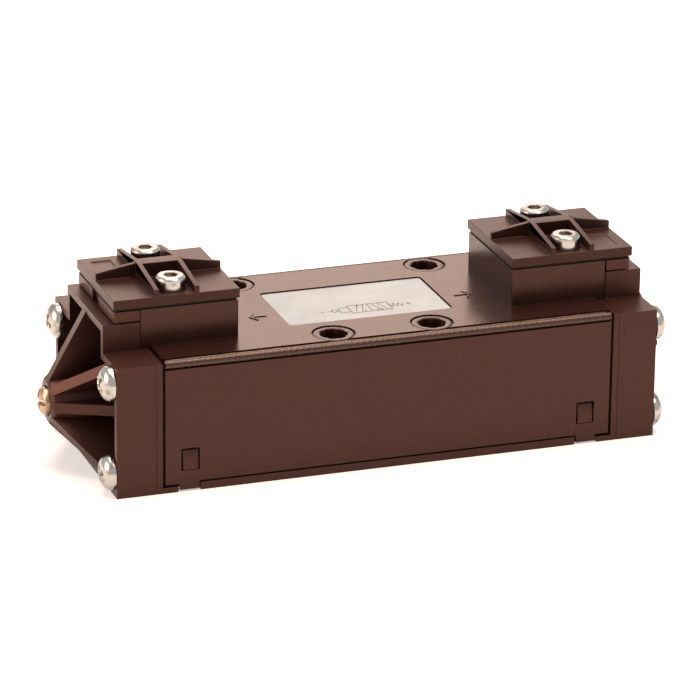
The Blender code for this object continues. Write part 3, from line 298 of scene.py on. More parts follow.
@dataclass(frozen=True)
class Moulded:
    """A dark moulded or painted surface: fine pebble and faint slow mottling."""

    name: str
    colour: Colour
    roughness: float = 0.36
    pebble: float = 0.45 * MM
    pebble_depth: float = 0.010 * MM
    pebble_rough: float = 0.10
    gloss: float = 0.54
    sheen: Colour = (1.0, 0.54, 0.44)
    mottle: float = 14 * MM
    deep_share: float = 0.93
    pale_share: float = 1.08
    swell: float = 3.4 * MM
    swell_rough: float = 0.06

    def make(self) -> bpy.types.Material:
        """Builds the material.

        Returns:
            The material.
        """
        shade = Shade(self.name)
        patches = shade.noise(self.mottle).step(0.3, 0.7)
        deep, pale = (tinted(self.colour, share) for share in (self.deep_share, self.pale_share))
        colour = shade.mix(patches, deep, pale)
        grain = shade.noise(self.pebble)
        slow = shade.noise(self.swell, 1.0)
        rough = self.roughness + (slow - 0.5) * self.swell_rough
        return shade.finish(
            Base_Color=colour,
            Roughness=rough + (grain - 0.5) * self.pebble_rough,
            Normal=shade.relief(grain + slow * 0.5, self.pebble_depth),
            Specular_IOR_Level=self.gloss,
            Specular_Tint=self.sheen,
        )


@dataclass(frozen=True)
class Plated:
    """Plated steel: bright, with soft cloudy smudges and fine handling marks."""

    name: str
    colour: Colour
    smudge: Colour
    roughness: float = 0.24
    cloud: float = 2.2 * MM
    mark: float = 0.25 * MM
    depth: float = 0.012 * MM

    def make(self) -> bpy.types.Material:
        """Builds the material.

        Returns:
            The material.
        """
        shade = Shade(self.name)
        cloud = shade.noise(self.cloud, 4.0)
        colour = shade.mix(cloud.step(0.5, 0.72), self.colour, self.smudge)
        fine = shade.noise(self.mark)
        rough = self.roughness + (cloud - 0.45) * 0.35 + (fine - 0.5) * 0.1
        normal = shade.relief(fine + cloud, self.depth)
        return shade.finish(Base_Color=colour, Roughness=rough, Metallic=1.0, Normal=normal)


@dataclass(frozen=True)
class TurnedMetal:
    """Metal from the lathe: fine rings round the X axis."""

    name: str
    colour: Colour
    roughness: float = 0.24
    feed: float = 0.12 * MM
    stain: float = 1.1 * MM
    stain_share: float = 0.7
    depth: float = 0.006 * MM

    def make(self) -> bpy.types.Material:
        """Builds the material.

        Returns:
            The material.
        """
        shade = Shade(self.name)
        ring = (shade.along(Axis.X) * (2 * math.pi / self.feed)).wave() * 0.5 + 0.5
        wander = shade.noise(self.stain, 3.0)
        dull = tinted(self.colour, self.stain_share)
        colour = shade.mix(wander.step(0.45, 0.75), self.colour, dull)
        rough = self.roughness + (wander - 0.5) * 0.25
        normal = shade.relief(ring + wander, self.depth)
        return shade.finish(Base_Color=colour, Roughness=rough, Metallic=1.0, Normal=normal)


@dataclass(frozen=True)
class Rubber:
    """Black rubber with a faint bloom."""

    name: str
    dark: Colour = (0.010, 0.006, 0.005)
    bloom: Colour = (0.024, 0.014, 0.012)
    roughness: float = 0.62
    gloss: float = 0.2

    def make(self) -> bpy.types.Material:
        """Builds the material.

        Returns:
            The material.
        """
        shade = Shade(self.name)
        bloom = shade.noise(1.5 * MM, 4.0)
        return shade.finish(
            Base_Color=shade.mix(bloom.step(0.4, 0.8), self.dark, self.bloom),
            Roughness=self.roughness + (bloom - 0.5) * 0.3,
            Normal=shade.relief(shade.noise(0.2 * MM), 0.015 * MM),
            Specular_IOR_Level=self.gloss,
        )


@dataclass(frozen=True)
class Acetal:
    """White bearing plastic."""

    name: str
    dull: Colour = (0.70, 0.68, 0.62)
    clean: Colour = (0.80, 0.79, 0.75)
    roughness: float = 0.36

    def make(self) -> bpy.types.Material:
        """Builds the material.

        Returns:
            The material.
        """
        shade = Shade(self.name)
        tone = shade.noise(3 * MM, 3.0)
        return shade.finish(
            Base_Color=shade.mix(tone.step(0.3, 0.7), self.dull, self.clean),
            Roughness=self.roughness + (tone - 0.5) * 0.15,
            Normal=shade.relief(shade.noise(0.4 * MM), 0.008 * MM),
        )


@dataclass(frozen=True)
class Film:
    """The pale film of the label: satin, slightly uneven, with faint rubbing along it."""

    name: str
    colour: Colour = (0.385, 0.43, 0.455)
    dim_share: float = 0.9
    rubbed: Colour = (0.4, 0.34, 0.3)
    roughness: float = 0.38
    gloss: float = 0.2

    def make(self) -> bpy.types.Material:
        """Builds the material.

        Returns:
            The material.
        """
        shade = Shade(self.name)
        tone = shade.noise(6 * MM, 4.0)
        rub = shade.noise(0.7 * MM, 2.0, (0.12, 1.0, 1.0))
        dim = tinted(self.colour, self.dim_share)
        colour = shade.mix(tone.step(0.35, 0.7), self.colour, dim)
        colour = shade.mix(rub.step(0.62, 0.8) * 0.25, colour, self.rubbed)
        return shade.finish(
            Base_Color=colour,
            Roughness=self.roughness + (rub - 0.5) * 0.2,
            Normal=shade.relief(tone + rub * 0.3, 0.02 * MM),
            Specular_IOR_Level=self.gloss,
        )


@dataclass(frozen=True)
class Ink:
    """Thin dark print."""

    name: str
    fresh: Colour = (0.09, 0.05, 0.04)
    worn: Colour = (0.22, 0.16, 0.14)
    roughness: float = 0.5

    def make(self) -> bpy.types.Material:
        """Builds the material.

        Returns:
            The material.
        """
        shade = Shade(self.name)
        wear = shade.noise(0.5 * MM, 3.0)
        colour = shade.mix(wear.step(0.5, 0.75), self.fresh, self.worn)
        return shade.finish(Base_Color=colour, Roughness=self.roughness + (wear - 0.5) * 0.2)


@dataclass(frozen=True)
class Palette:
    """Every finish of the valve."""

    housing: Moulded = Moulded("housing_paint", (0.020, 0.0070, 0.0055), 0.26)
    # The bead's colour is the housing paint darkened: painted shade for the undercut under the rod
    # and the valley behind it.
    bead: Moulded = Moulded(
        "bead_paint_shaded", (0.010, 0.0036, 0.0028), 0.32, gloss=0.85, sheen=(1.0, 0.68, 0.57)
    )
    moulding: Moulded = Moulded(
        "cap_moulding", (0.025, 0.0086, 0.0068), 0.40, pebble=0.5 * MM, pebble_depth=0.014 * MM
    )
    cover: Moulded = Moulded(
        "cover_moulding",
        (0.019, 0.0066, 0.0052),
        0.38,
        pebble=0.5 * MM,
        pebble_depth=0.014 * MM,
        gloss=0.46,
    )
    insert: Moulded = Moulded("insert_moulding", (0.040, 0.0135, 0.0105), 0.40, pebble=0.4 * MM)
    zinc: Plated = Plated("bright_zinc", (0.45, 0.425, 0.395), (0.22, 0.19, 0.17), 0.2)
    steel: Plated = Plated("spring_steel", (0.42, 0.41, 0.40), (0.24, 0.22, 0.21), 0.32)
    brass: TurnedMetal = TurnedMetal("turned_brass", (0.42, 0.285, 0.20), 0.26)
    aluminium: TurnedMetal = TurnedMetal("turned_aluminium", (0.74, 0.74, 0.75), 0.2)
    rubber: Rubber = Rubber("nitrile_rubber")
    acetal: Acetal = Acetal("white_acetal")
    film: Film = Film("label_film")
    ink: Ink = Ink("label_ink")


class Finishes:
    """Makes each material of the palette once, when it is first asked for."""

    def __init__(self, palette: Palette) -> None:
        """Keeps the palette."""
        self.palette = palette
        self.made: dict[str, bpy.types.Material] = {}

    def get(self, name: str) -> bpy.types.Material:
        """Hands out one material.

        Args:
            name: The field of the palette.

        Returns:
            The material, the same one each time.
        """
        if name not in self.made:
            self.made[name] = getattr(self.palette, name).make()
        return self.made[name]


def linked(name: str, data: Any) -> bpy.types.Object:
    """Adds an object to the scene.

    Args:
        name: The object's name.
        data: Its mesh, lamp or camera.

    Returns:
        The object.
    """
    item = bpy.data.objects.new(name, data)
    bpy.context.scene.collection.objects.link(item)
    return item


def grid_faces(rows: int, columns: int, wrap_rows: bool, wrap_columns: bool) -> Array:
    """The quads of a grid of points.

    Corner (i, j) has number i * columns + j, and each quad joins (i, j), (i + 1, j),
    (i + 1, j + 1) and (i, j + 1).

    Args:
        rows: Points along the first parameter.
        columns: Points along the second parameter.
        wrap_rows: Whether the last row joins the first.
        wrap_columns: Whether the last column joins the first.

    Returns:
        An array of four corner numbers a face.
    """
    i, j = np.meshgrid(
        np.arange(rows if wrap_rows else rows - 1),
        np.arange(columns if wrap_columns else columns - 1),
        indexing="ij",
    )
    this_row, next_row = i * columns, (i + 1) % rows * columns
    next_j = (j + 1) % columns
    corners = (this_row + j, next_row + j, next_row + next_j, this_row + next_j)
    return np.stack(corners, axis=-1).reshape(-1, 4)


@dataclass
class Sheet:
    """One grid of points and how its sides join."""

    points: Array
    wrap_rows: bool = False
    wrap_columns: bool = False


def mesh_of(name: str, sheets: Iterable[Sheet], smooth_angle: float = 40.0) -> bpy.types.Object:
    """Puts grids into one mesh, merges their seams and poles, and turns faces outwards.

    Args:
        name: The object's name.
        sheets: The grids.
        smooth_angle: The angle in degrees over which an edge stays sharp.

    Returns:
        The linked object.
    """
    points, faces, start = [], [], 0
    for sheet in sheets:
        rows, columns = sheet.points.shape[:2]
        points.append(sheet.points.reshape(-1, 3))
        faces.append(grid_faces(rows, columns, sheet.wrap_rows, sheet.wrap_columns) + start)
        start += rows * columns
    mesh = bpy.data.meshes.new(name)
    mesh.from_pydata(np.concatenate(points).tolist(), [], np.concatenate(faces).tolist())
    shape = bmesh.new()
    shape.from_mesh(mesh)
    bmesh.ops.remove_doubles(shape, verts=shape.verts, dist=SEAM)
    bmesh.ops.dissolve_degenerate(shape, dist=SLIVER, edges=shape.edges)
    bmesh.ops.recalc_face_normals(shape, faces=shape.faces)
    shape.to_mesh(mesh)
    shape.free()
    mesh.shade_smooth()
    mesh.set_sharp_from_angle(angle=math.radians(smooth_angle))
    return linked(name, mesh)


def smoothstep(values: Array, low: float, high: float) -> Array:
    """3t^2 - 2t^3, where t goes from 0 at low to 1 at high."""
    t = np.clip((values - low) / (high - low), 0.0, 1.0)
    return t * t * (3 - 2 * t)


def once_round(columns: int) -> Array:
    """Evenly spaced angles from 0 to a full turn, in radians, without the last."""
    return np.linspace(0, 2 * math.pi, columns, endpoint=False)


def spread(profile: Sequence[tuple[float, float, int]]) -> tuple[Array, Array]:
    """Points along a profile, evenly spaced between its corners.

    Args:
        profile: (along, radius, steps to the next corner) of each corner.

    Returns:
        The along and radius values as two arrays.
    """
    along, radius = [], []
    for (a0, r0, steps), (a1, r1, _) in zip(profile, profile[1:]):
        t = np.arange(steps) / steps
        along.append(a0 + (a1 - a0) * t)
        radius.append(r0 + (r1 - r0) * t)
    along.append(np.array([profile[-1][0]]))
    radius.append(np.array([profile[-1][1]]))
    return np.concatenate(along), np.concatenate(radius)


def turned(
    along: Array, radius: Array, columns: int, axis: Axis, centre: tuple[float, float]
) -> Sheet:
    """A surface of revolution: at angle a, (radius cos a, radius sin a) across the axis.

    Args:
        along: Places along the axis, one a row, or one a point.
        radius: Distances from it, one a row, or one a point.
        columns: Steps round.
        axis: The axis it is turned about.
        centre: Where the axis passes the other two coordinates.

    Returns:
        The grid, closed round its axis.
    """
    angle = once_round(columns)[None, :]
    along = along if along.ndim == 2 else along[:, None]
    radius = radius if radius.ndim == 2 else radius[:, None]
    first = centre[0] + radius * np.cos(angle)
    second = centre[1] + radius * np.sin(angle)
    along = np.broadcast_to(along, first.shape)
    order = (along, first, second) if axis is Axis.X else (first, second, along)
    return Sheet(np.stack(order, axis=-1), wrap_columns=True)


def ribbon(path: Array, width: float, low: float, high: float) -> Sheet:
    """A flat strip on a level surface: each point of the path moves half a width to each side.

    Args:
        path: The middle line, as (x, y) rows.
        width: The strip's width.
        low: The height of its underside.
        high: The height of its top.

    Returns:
        A closed strip of four corners a step, with its ends pinched shut.
    """
    slope = np.gradient(path, axis=0)
    slope /= np.linalg.norm(slope, axis=1, keepdims=True)
    side = np.stack((-slope[:, 1], slope[:, 0]), axis=1) * width / 2
    rows = []
    for sign, z in ((1, low), (1, high), (-1, high), (-1, low)):
        rows.append(np.column_stack((path + sign * side, np.full(len(path), z))))
    grid = np.stack(rows, axis=1)
    first, last = grid[:1].mean(axis=1, keepdims=True), grid[-1:].mean(axis=1, keepdims=True)
    ends = [np.broadcast_to(point, grid[:1].shape) for point in (first, last)]
    return Sheet(np.concatenate((ends[0], grid, ends[1])), wrap_columns=True)


def straight(start: Array, end: Array, points: int) -> Array:
    """Evenly spaced points on the line from start to end, as (x, y) rows."""
    return start + (end - start) * np.linspace(0, 1, points)[:, None]


class Piece:
    """Dresses and places one finished object."""

    def __init__(self, finishes: Finishes) -> None:
        """Keeps the finishes."""
        self.finishes = finishes

    def settle(
        self, item: bpy.types.Object, body: Body, finish: str, slot: str, nodes: Sequence[str] = ()
    ) -> None:
        """Gives an object its finish and its body, and hides the nodes that it stands for.

        Args:
            item: The finished object.
            body: The body that it rides on.
            finish: The field of the palette.
            slot: A material slot, which is not used.
            nodes: The solids that it replaces.
        """
        item.data.materials.clear()
        item.data.materials.append(self.finishes.get(finish))
        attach(item, body.value)
        if nodes:
            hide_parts(*nodes)
        LOG.info("%s: %d faces on %s", item.name, len(item.data.polygons), body.value)


@dataclass
class Castings:
    """The housing and its mouldings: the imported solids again, with rounded edges."""

    nodes: dict[str, bpy.types.Object]
    dress: Piece
    edge: float = 0.28 * MM
    fine_edge: float = 0.1 * MM
    flat_angle: float = 0.4
    sharp_angle: float = 38.0

    def rounded(self, node: str, radius: float) -> bpy.types.Object:
        """A merged copy of a solid with a small round on every sharp edge.

        Args:
            node: The solid's name.
            radius: How wide the round is.

        Returns:
            The copy.
        """
        shape = bmesh.new()
        shape.from_mesh(self.nodes[node].data)
        bmesh.ops.remove_doubles(shape, verts=shape.verts, dist=SOLID_SEAM)
        flat = math.radians(self.flat_angle)
        bmesh.ops.dissolve_limit(shape, angle_limit=flat, verts=shape.verts, edges=shape.edges)
        mesh = bpy.data.meshes.new(f"{node}_rounded")
        shape.to_mesh(mesh)
        shape.free()
        mesh.shade_smooth()
        item = linked(f"{node}_rounded", mesh)
        bevel = item.modifiers.new("edge_round", "BEVEL")
        bevel.width = radius
        bevel.segments = 2
        bevel.limit_method = "ANGLE"
        bevel.angle_limit = math.radians(self.sharp_angle)
        bevel.use_clamp_overlap = True
        even = item.modifiers.new("even_normals", "WEIGHTED_NORMAL")
        even.mode = "FACE_AREA"
        even.weight = 100
        even.thresh = 0.01
        return item

    def build(self) -> None:
        """Makes every rounded piece."""
        plan = [
            ("valve_body", self.edge, "housing", "paint"),
            ("base_plate", self.fine_edge, "moulding", "plastic"),
        ]
        for end in End:
            plan += [
                (f"{end.word}_end_cap", self.edge, "moulding", "plastic"),
                (f"{end.word}_end_plate", self.fine_edge, "moulding", "plastic"),
                (f"{end.word}_pad_cover", self.edge, "cover", "plastic"),
                (f"{end.word}_pad_insert", self.fine_edge, "insert", "paint"),
            ]
        for node, radius, finish, slot in plan:
            item = self.rounded(node, radius)
            self.dress.settle(item, Body.HOUSING, finish, slot, [node])


@dataclass(frozen=True)
class Thread:
    """A screw's threaded shank, from its tip at -length to its seat at 0."""

    length: float
    shank: float
    depth: float
    pitch: float = 0.7 * MM
    lead: float = 0.6 * MM
    plain: float = 1.2 * MM
    rows_a_pitch: int = 5

    def surface(self, angle: Array) -> tuple[Array, Array]:
        """A triangle wave along the shank, which the angle round it moves by a pitch a turn.

        Args:
            angle: The angles round the shank.

        Returns:
            Places along the axis, one a row, and radii, one a point.
        """
        threaded = self.length - self.plain
        start = -self.length + self.lead
        along = np.linspace(start, start + threaded, int(threaded / self.pitch * self.rows_a_pitch))
        phase = (along[:, None] / self.pitch - angle[None, :] / (2 * math.pi)) % 1.0
        return along, self.shank - self.depth * np.abs(2 * phase - 1)


@dataclass
class PanScrews:
    """The eight domed screws of the end caps, with a cross recess."""

    dress: Piece
    places_y: tuple[float, ...] = (-21.6 * MM, 21.6 * MM)
    places_z: tuple[float, ...] = (5.4 * MM, 26.9 * MM)
    first_turn: float = 0.35
    next_turn: float = 0.61
    end_turn: float = 0.3
    seat: float = 65.82 * MM
    thread: Thread = Thread(length=18.0 * MM, shank=1.86 * MM, depth=0.16 * MM)
    head: float = 4.18 * MM
    height: float = 3.05 * MM
    dome_power: float = 2.3
    dome_rows: int = 34
    rim: float = 0.55 * MM
    recess: float = 1.9 * MM
    slot: float = 0.42 * MM
    reach: float = 2.35 * MM
    columns: int = 64

    def surface(self, turn: float) -> Sheet:
        """The whole screw about its own axis, from tip to dome.

        The dome is half an egg: its height is the square root of one less the share of the
        radius, taken to the dome's power. The recess is sunk by its depth where the nearer of
        the two slots' middle lines is less than half a slot away, and runs out towards the
        slots' ends.

        Args:
            turn: How far the recess is turned, in radians.

        Returns:
            The grid, along +X from its seat.
        """
        angle = once_round(self.columns)
        shank_x, thread = self.thread.surface(angle)
        tip = -self.thread.length
        dome_r = self.head * np.cos(np.linspace(0, math.pi / 2, self.dome_rows))
        rise = np.sqrt(1 - (dome_r / self.head) ** self.dome_power)
        dome_x = self.rim + (self.height - self.rim) * rise
        flat = np.ones(self.columns)
        along = np.concatenate((
            [tip * flat, tip * flat],
            np.broadcast_to(shank_x[:, None], thread.shape),
            [0 * flat, 0 * flat, 0.25 * self.rim * flat],
            dome_x[:, None] * flat,
        ))
        radius = np.concatenate((
            [0 * flat, (self.thread.shank - self.thread.depth) * 0.8 * flat],
            thread,
            [self.thread.shank * flat, self.head * 0.95 * flat, self.head * flat],
            dome_r[:, None] * flat,
        ))
        across = radius * np.cos(angle - turn), radius * np.sin(angle - turn)
        nearer = np.minimum(np.abs(across[0]), np.abs(across[1]))
        sink = 1 - smoothstep(nearer, self.slot * 0.75, self.slot * 1.35)
        sink *= 1 - smoothstep(radius, self.reach * 0.55, self.reach)
        on_dome = (along >= self.rim * 0.999).astype(float)
        along = along - self.recess * sink * on_dome
        return turned(along, radius, self.columns, Axis.X, (0.0, 0.0))

    def build(self) -> None:
        """Places one screw at every corner of both caps, each turned another way."""
        corners = [(y, z) for y in self.places_y for z in self.places_z]
        for end in End:
            for count, (y, z) in enumerate(corners, 1):
                turn = self.first_turn + self.next_turn * count + self.end_turn * end.value
                sheet = self.surface(turn)
                points = sheet.points
                points[..., 0] = end.value * (points[..., 0] + self.seat)
                points[..., 1] = end.value * (points[..., 1] + y)
                points[..., 2] += z
                name = f"{end.word}_cap_screw_{count}"
                item = mesh_of(f"{name}_zinc", [sheet], 35)
                self.dress.settle(item, Body.HOUSING, "zinc", "zinc", [name])


@dataclass
class SocketScrews:
    """The four socket-head screws of the pad covers, with a knurled head."""

    dress: Piece
    centre_x: float = 48.3 * MM
    spread_y: float = 10.0 * MM
    first_turn: float = 0.5
    next_turn: float = 0.9
    seat: float = 43.13 * MM
    thread: Thread = Thread(length=9.0 * MM, shank=1.62 * MM, depth=0.15 * MM)
    head: float = 3.46 * MM
    height: float = 3.98 * MM
    chamfer: float = 0.5 * MM
    knurl: float = 0.02 * MM
    knurl_start: float = 0.45 * MM
    knurl_end: float = 0.15 * MM
    smooth_share: float = 0.985
    teeth: int = 36
    socket: float = 1.5 * MM
    socket_lead: float = 0.14 * MM
    depth: float = 1.3 * MM
    drill_point: float = 0.5 * MM
    columns: int = 144

    def surface(self) -> Sheet:
        """The whole screw about its own axis, from tip to the socket's floor.

        The knurl takes a rectified sine of the angle off the head's side. The socket's radius
        at an angle is its inner radius over the cosine of the angle from the nearest flat.

        Returns:
            The grid, along +Z from its seat.
        """
        angle = once_round(self.columns)
        flat = np.ones(self.columns)
        tip = -self.thread.length
        knurled = self.head - self.knurl * np.abs(np.sin(angle * self.teeth / 2))
        smooth = self.head * self.smooth_share * flat
        sixth = math.pi / 3
        hexagon = self.socket / np.cos((angle + sixth / 2) % sixth - sixth / 2)
        top, floor = self.height, self.height - self.depth
        rows_of = [
            (tip, 0 * flat),
            (tip, self.thread.shank * 0.7 * flat),
            *zip(*self.thread.surface(angle)),
            (0.0, self.thread.shank * flat),
            (0.0, (self.head - self.chamfer) * flat),
            (0.25 * MM, smooth),
            (self.knurl_start, knurled),
            (top - self.chamfer - self.knurl_end, knurled),
            (top - self.chamfer, smooth),
            (top - 0.06 * MM, (self.head - self.chamfer) * flat),
            (top, (self.head - self.chamfer - 0.12 * MM) * flat),
            (top, (self.head * 0.45 + hexagon * 0.45) * flat),
            (top, hexagon * 1.07),
            (top - self.socket_lead, hexagon),
            (floor, hexagon),
            (floor - self.drill_point, 0 * flat),
        ]
        along = np.stack([z * flat for z, _ in rows_of])
        radius = np.stack([r for _, r in rows_of])
        return turned(along, radius, self.columns, Axis.Z, (0.0, 0.0))

    def build(self) -> None:
        """Places two screws in each cover, each turned another way."""
        for end in End:
            for count, y in enumerate((-self.spread_y, self.spread_y), 1):
                sheet = self.surface()
                angle = self.first_turn + self.next_turn * count + end.value
                turn = np.array(Matrix.Rotation(angle, 3, "Z"))
                sheet.points = sheet.points @ turn.T
                sheet.points += np.array((end.value * self.centre_x, y, self.seat))
                name = f"{end.word}_cover_screw_{count}"
                item = mesh_of(f"{name}_zinc", [sheet], 32)
                self.dress.settle(item, Body.HOUSING, "zinc", "zinc", [name])


@dataclass
class OverridePin:
    """The brass pin in the pilot cap's nose, with a cross-slotted dome."""

    dress: Piece
    axis_z: float = 15.8 * MM
    tip: float = 54.9 * MM
    tip_chamfer: float = 0.3 * MM
    body: float = 2.18 * MM
    clip_groove: tuple[float, float] = (61.54 * MM, 62.46 * MM)
    clip_neck: float = 1.7 * MM
    seal_groove: tuple[float, float] = (66.48 * MM, 67.92 * MM)
    seal_neck: float = 1.18 * MM
    head: float = 3.34 * MM
    head_start: float = 72.72 * MM
    head_chamfer: float = 0.15 * MM
    top: float = 77.06 * MM
    dome: float = 1.0 * MM
    dome_rows: int = 36
    slot: float = 0.62 * MM
    slot_turn: float = 0.2
    sunk: float = 1.0 * MM
    columns: int = 96

    def surface(self) -> Sheet:
        """The pin from its tip to its dome.

        The dome falls with the cube of the radius. A slot's floor lies its depth under the top,
        wherever the nearer middle line is less than half a slot away.

        Returns:
            The grid, along -X.
        """
        shoulder = self.top - self.dome
        steps = (
            (self.tip, 0.0, 1),
            (self.tip, self.body - self.tip_chamfer, 1),
            (self.tip + self.tip_chamfer, self.body, 4),
            (self.clip_groove[0], self.body, 1),
            (self.clip_groove[0], self.clip_neck, 2),
            (self.clip_groove[1], self.clip_neck, 1),
            (self.clip_groove[1], self.body, 3),
            (self.seal_groove[0], self.body, 1),
            (self.seal_groove[0], self.seal_neck, 2),
            (self.seal_groove[1], self.seal_neck, 1),
            (self.seal_groove[1], self.body, 3),
            (self.head_start, self.body, 2),
            (self.head_start, self.head - self.head_chamfer, 1),
            (self.head_start + self.head_chamfer, self.head, 5),
            (shoulder - 0.05 * MM, self.head, 1),
        )
        low, low_r = spread(steps)
        dome_r = self.head * (1 - np.linspace(0, 1, self.dome_rows))
        dome_x = shoulder + self.dome * (1 - (dome_r / self.head) ** 3)
        flat = np.ones(self.columns)
        along = np.concatenate((low, dome_x))[:, None] * flat
        radius = np.concatenate((low_r, dome_r))[:, None] * flat
        angle = once_round(self.columns) + self.slot_turn
        nearer = np.minimum(np.abs(radius * np.cos(angle)), np.abs(radius * np.sin(angle)))
        inside = 1 - smoothstep(nearer, self.slot * 0.9, self.slot * 1.15)
        on_dome = (along >= shoulder * 0.99999).astype(float)
        floor = np.minimum(along, self.top - self.sunk)
        along = along + (floor - along) * inside * on_dome
        return turned(along, radius, self.columns, Axis.X, (0.0, 0.0))

    def build(self) -> None:
        """Makes the pin and puts it in the nose."""
        sheet = self.surface()
        sheet.points[..., 0] *= -1
        sheet.points[..., 2] += self.axis_z
        item = mesh_of("override_pin_brass", [sheet], 35)
        self.dress.settle(item, Body.PIN, "brass", "brass", ["override_pin"])


@dataclass
class EdgeBeads:
    """The hammered strips along the housing's two long upper edges, and what lies behind them."""

    dress: Piece
    half_length: float = 54.1 * MM
    centre_y: float = 24.68 * MM
    centre_z: float = 30.98 * MM
    radius: float = 0.96 * MM
    ripple: float = 0.10 * MM
    pitch: float = 0.86 * MM
    dents: tuple[tuple[float, float], ...] = ((1.0, 2.0), (0.63, -1.0), (1.71, 3.0))
    sway: float = 3.1 * MM
    rows: int = 1300
    columns: int = 20
    cove_y: float = 23.62 * MM
    cove_z: float = 31.2 * MM
    cove_width: float = 0.42 * MM
    cove_height: float = 0.56 * MM
    cove_waver: float = 0.05
    cove_waves: tuple[float, float] = (0.9 * MM, 2.3 * MM)
    cove_rows: int = 220
    cove_columns: int = 12

    def stations(self, rows: int) -> tuple[Array, Array]:
        """Places along X, with a taper that closes both ends to a point.

        Args:
            rows: How many places there are.

        Returns:
            The places, one a row, and a factor that is 0 at both ends and 1 between.
        """
        x = np.linspace(-self.half_length, self.half_length, rows)[:, None]
        taper = np.ones_like(x)
        taper[[0, -1]] = 0.0
        return x, taper

    def surface(self, side: float) -> Sheet:
        """A rod along X whose radius ripples along slanted lines.

        The ripple is the mean of three sines of x and the angle round the rod. Their pitches,
        as shares of the first, and their slants share no common measure, so that no two dents
        are alike.

        Args:
            side: The sign of Y.

        Returns:
            The grid, with both ends closed to a point.
        """
        x, taper = self.stations(self.rows)
        angle = once_round(self.columns)[None, :]
        waves = sum(
            np.sin(2 * math.pi * x / (self.pitch * share) + slant * angle + np.sin(x / self.sway))
            for share, slant in self.dents
        )
        radius = (self.radius - self.ripple * (0.5 + waves / (2 * len(self.dents)))) * taper
        y = side * (self.centre_y + radius * np.cos(angle))
        z = self.centre_z + radius * np.sin(angle)
        return Sheet(np.stack((np.broadcast_to(x, y.shape), y, z), axis=-1), wrap_columns=True)

    def cove(self, side: float) -> Sheet:
        """The floor of the shallow valley behind a rod: an upright ellipse carried along X.

        Its height wavers by a product of two slow sines, so that the line between rod and top
        is not ruled.

        Args:
            side: The sign of Y.

        Returns:
            The grid, with both ends closed to a point.
        """
        x, taper = self.stations(self.cove_rows)
        angle = once_round(self.cove_columns)[None, :]
        short, long = (np.sin(x / length) for length in self.cove_waves)
        height = self.cove_height * taper * (1 + self.cove_waver * short * long)
        y = side * (self.cove_y + self.cove_width * taper * np.cos(angle))
        z = self.cove_z + height * np.sin(angle)
        return Sheet(np.stack((np.broadcast_to(x, y.shape), y, z), axis=-1), wrap_columns=True)

    def build(self) -> None:
        """Makes both strips."""
        for side, word in ((-1.0, "front"), (1.0, "back")):
            item = mesh_of(f"{word}_edge_bead", [self.surface(side), self.cove(side)], 60)
            # The bead finish is darkened paint, painted shade for the rod's undercut and its
            # valley.
            self.dress.settle(item, Body.HOUSING, "bead", "paint")


@dataclass
class HoleRims:
    """The raised rims in the mounting holes' rings, with crush ribs down the holes."""

    dress: Piece
    row_y: float = 19 * MM
    front_x: float = 12 * MM
    back_x: float = 24 * MM
    wall: float = 3.29 * MM
    hidden: float = 3.36 * MM
    rib: float = 0.26 * MM
    ribs: int = 7
    rib_turn: float = 0.2
    outer: float = 4.68 * MM
    top: float = 31.93 * MM
    floor: float = 31.5 * MM
    low: float = 22.0 * MM
    soft: float = 0.12 * MM
    columns: int = 112

    def surface(self, centre: tuple[float, float], turn: float) -> Sheet:
        """A ring with a long sleeve, whose inner radius dips at each rib.

        The inner radius is the wall's, less the rib's height times the eighth power of the
        cosine of half the ribs' angle. The outline goes down inside the wall, up the hole, over
        a small round and out to the groove.

        Args:
            centre: The hole's centre.
            turn: Where the first rib stands.

        Returns:
            The grid, closed both ways.
        """
        flat = np.ones(self.columns)
        angle = once_round(self.columns) - turn
        inner = self.wall - self.rib * np.cos(angle * self.ribs / 2) ** 8
        shoulder = self.top - 0.3 * self.soft
        outline = (
            (self.floor, self.hidden * flat),
            (self.low, self.hidden * flat),
            (self.low, inner),
            (self.top - self.soft, inner),
            (shoulder, inner + 0.3 * self.soft),
            (self.top, inner + self.soft),
            (self.top, (self.outer - self.soft) * flat),
            (shoulder, (self.outer - 0.3 * self.soft) * flat),
            (self.top - self.soft, self.outer * flat),
            (self.floor, self.outer * flat),
        )
        along = np.stack([height * flat for height, _ in outline])
        radius = np.stack([distance for _, distance in outline])
        sheet = turned(along, radius, self.columns, Axis.Z, centre)
        sheet.wrap_rows = True
        return sheet

    def build(self) -> None:
        """Makes the rim of each hole."""
        rows = ((self.front_x, -self.row_y), (self.back_x, self.row_y))
        places = [(side * x, y) for x, y in rows for side in (-1, 1)]
        for number, place in enumerate(places, 1):
            item = mesh_of(f"hole_rim_{number}", [self.surface(place, self.rib_turn * number)])
            self.dress.settle(item, Body.HOUSING, "housing", "paint")


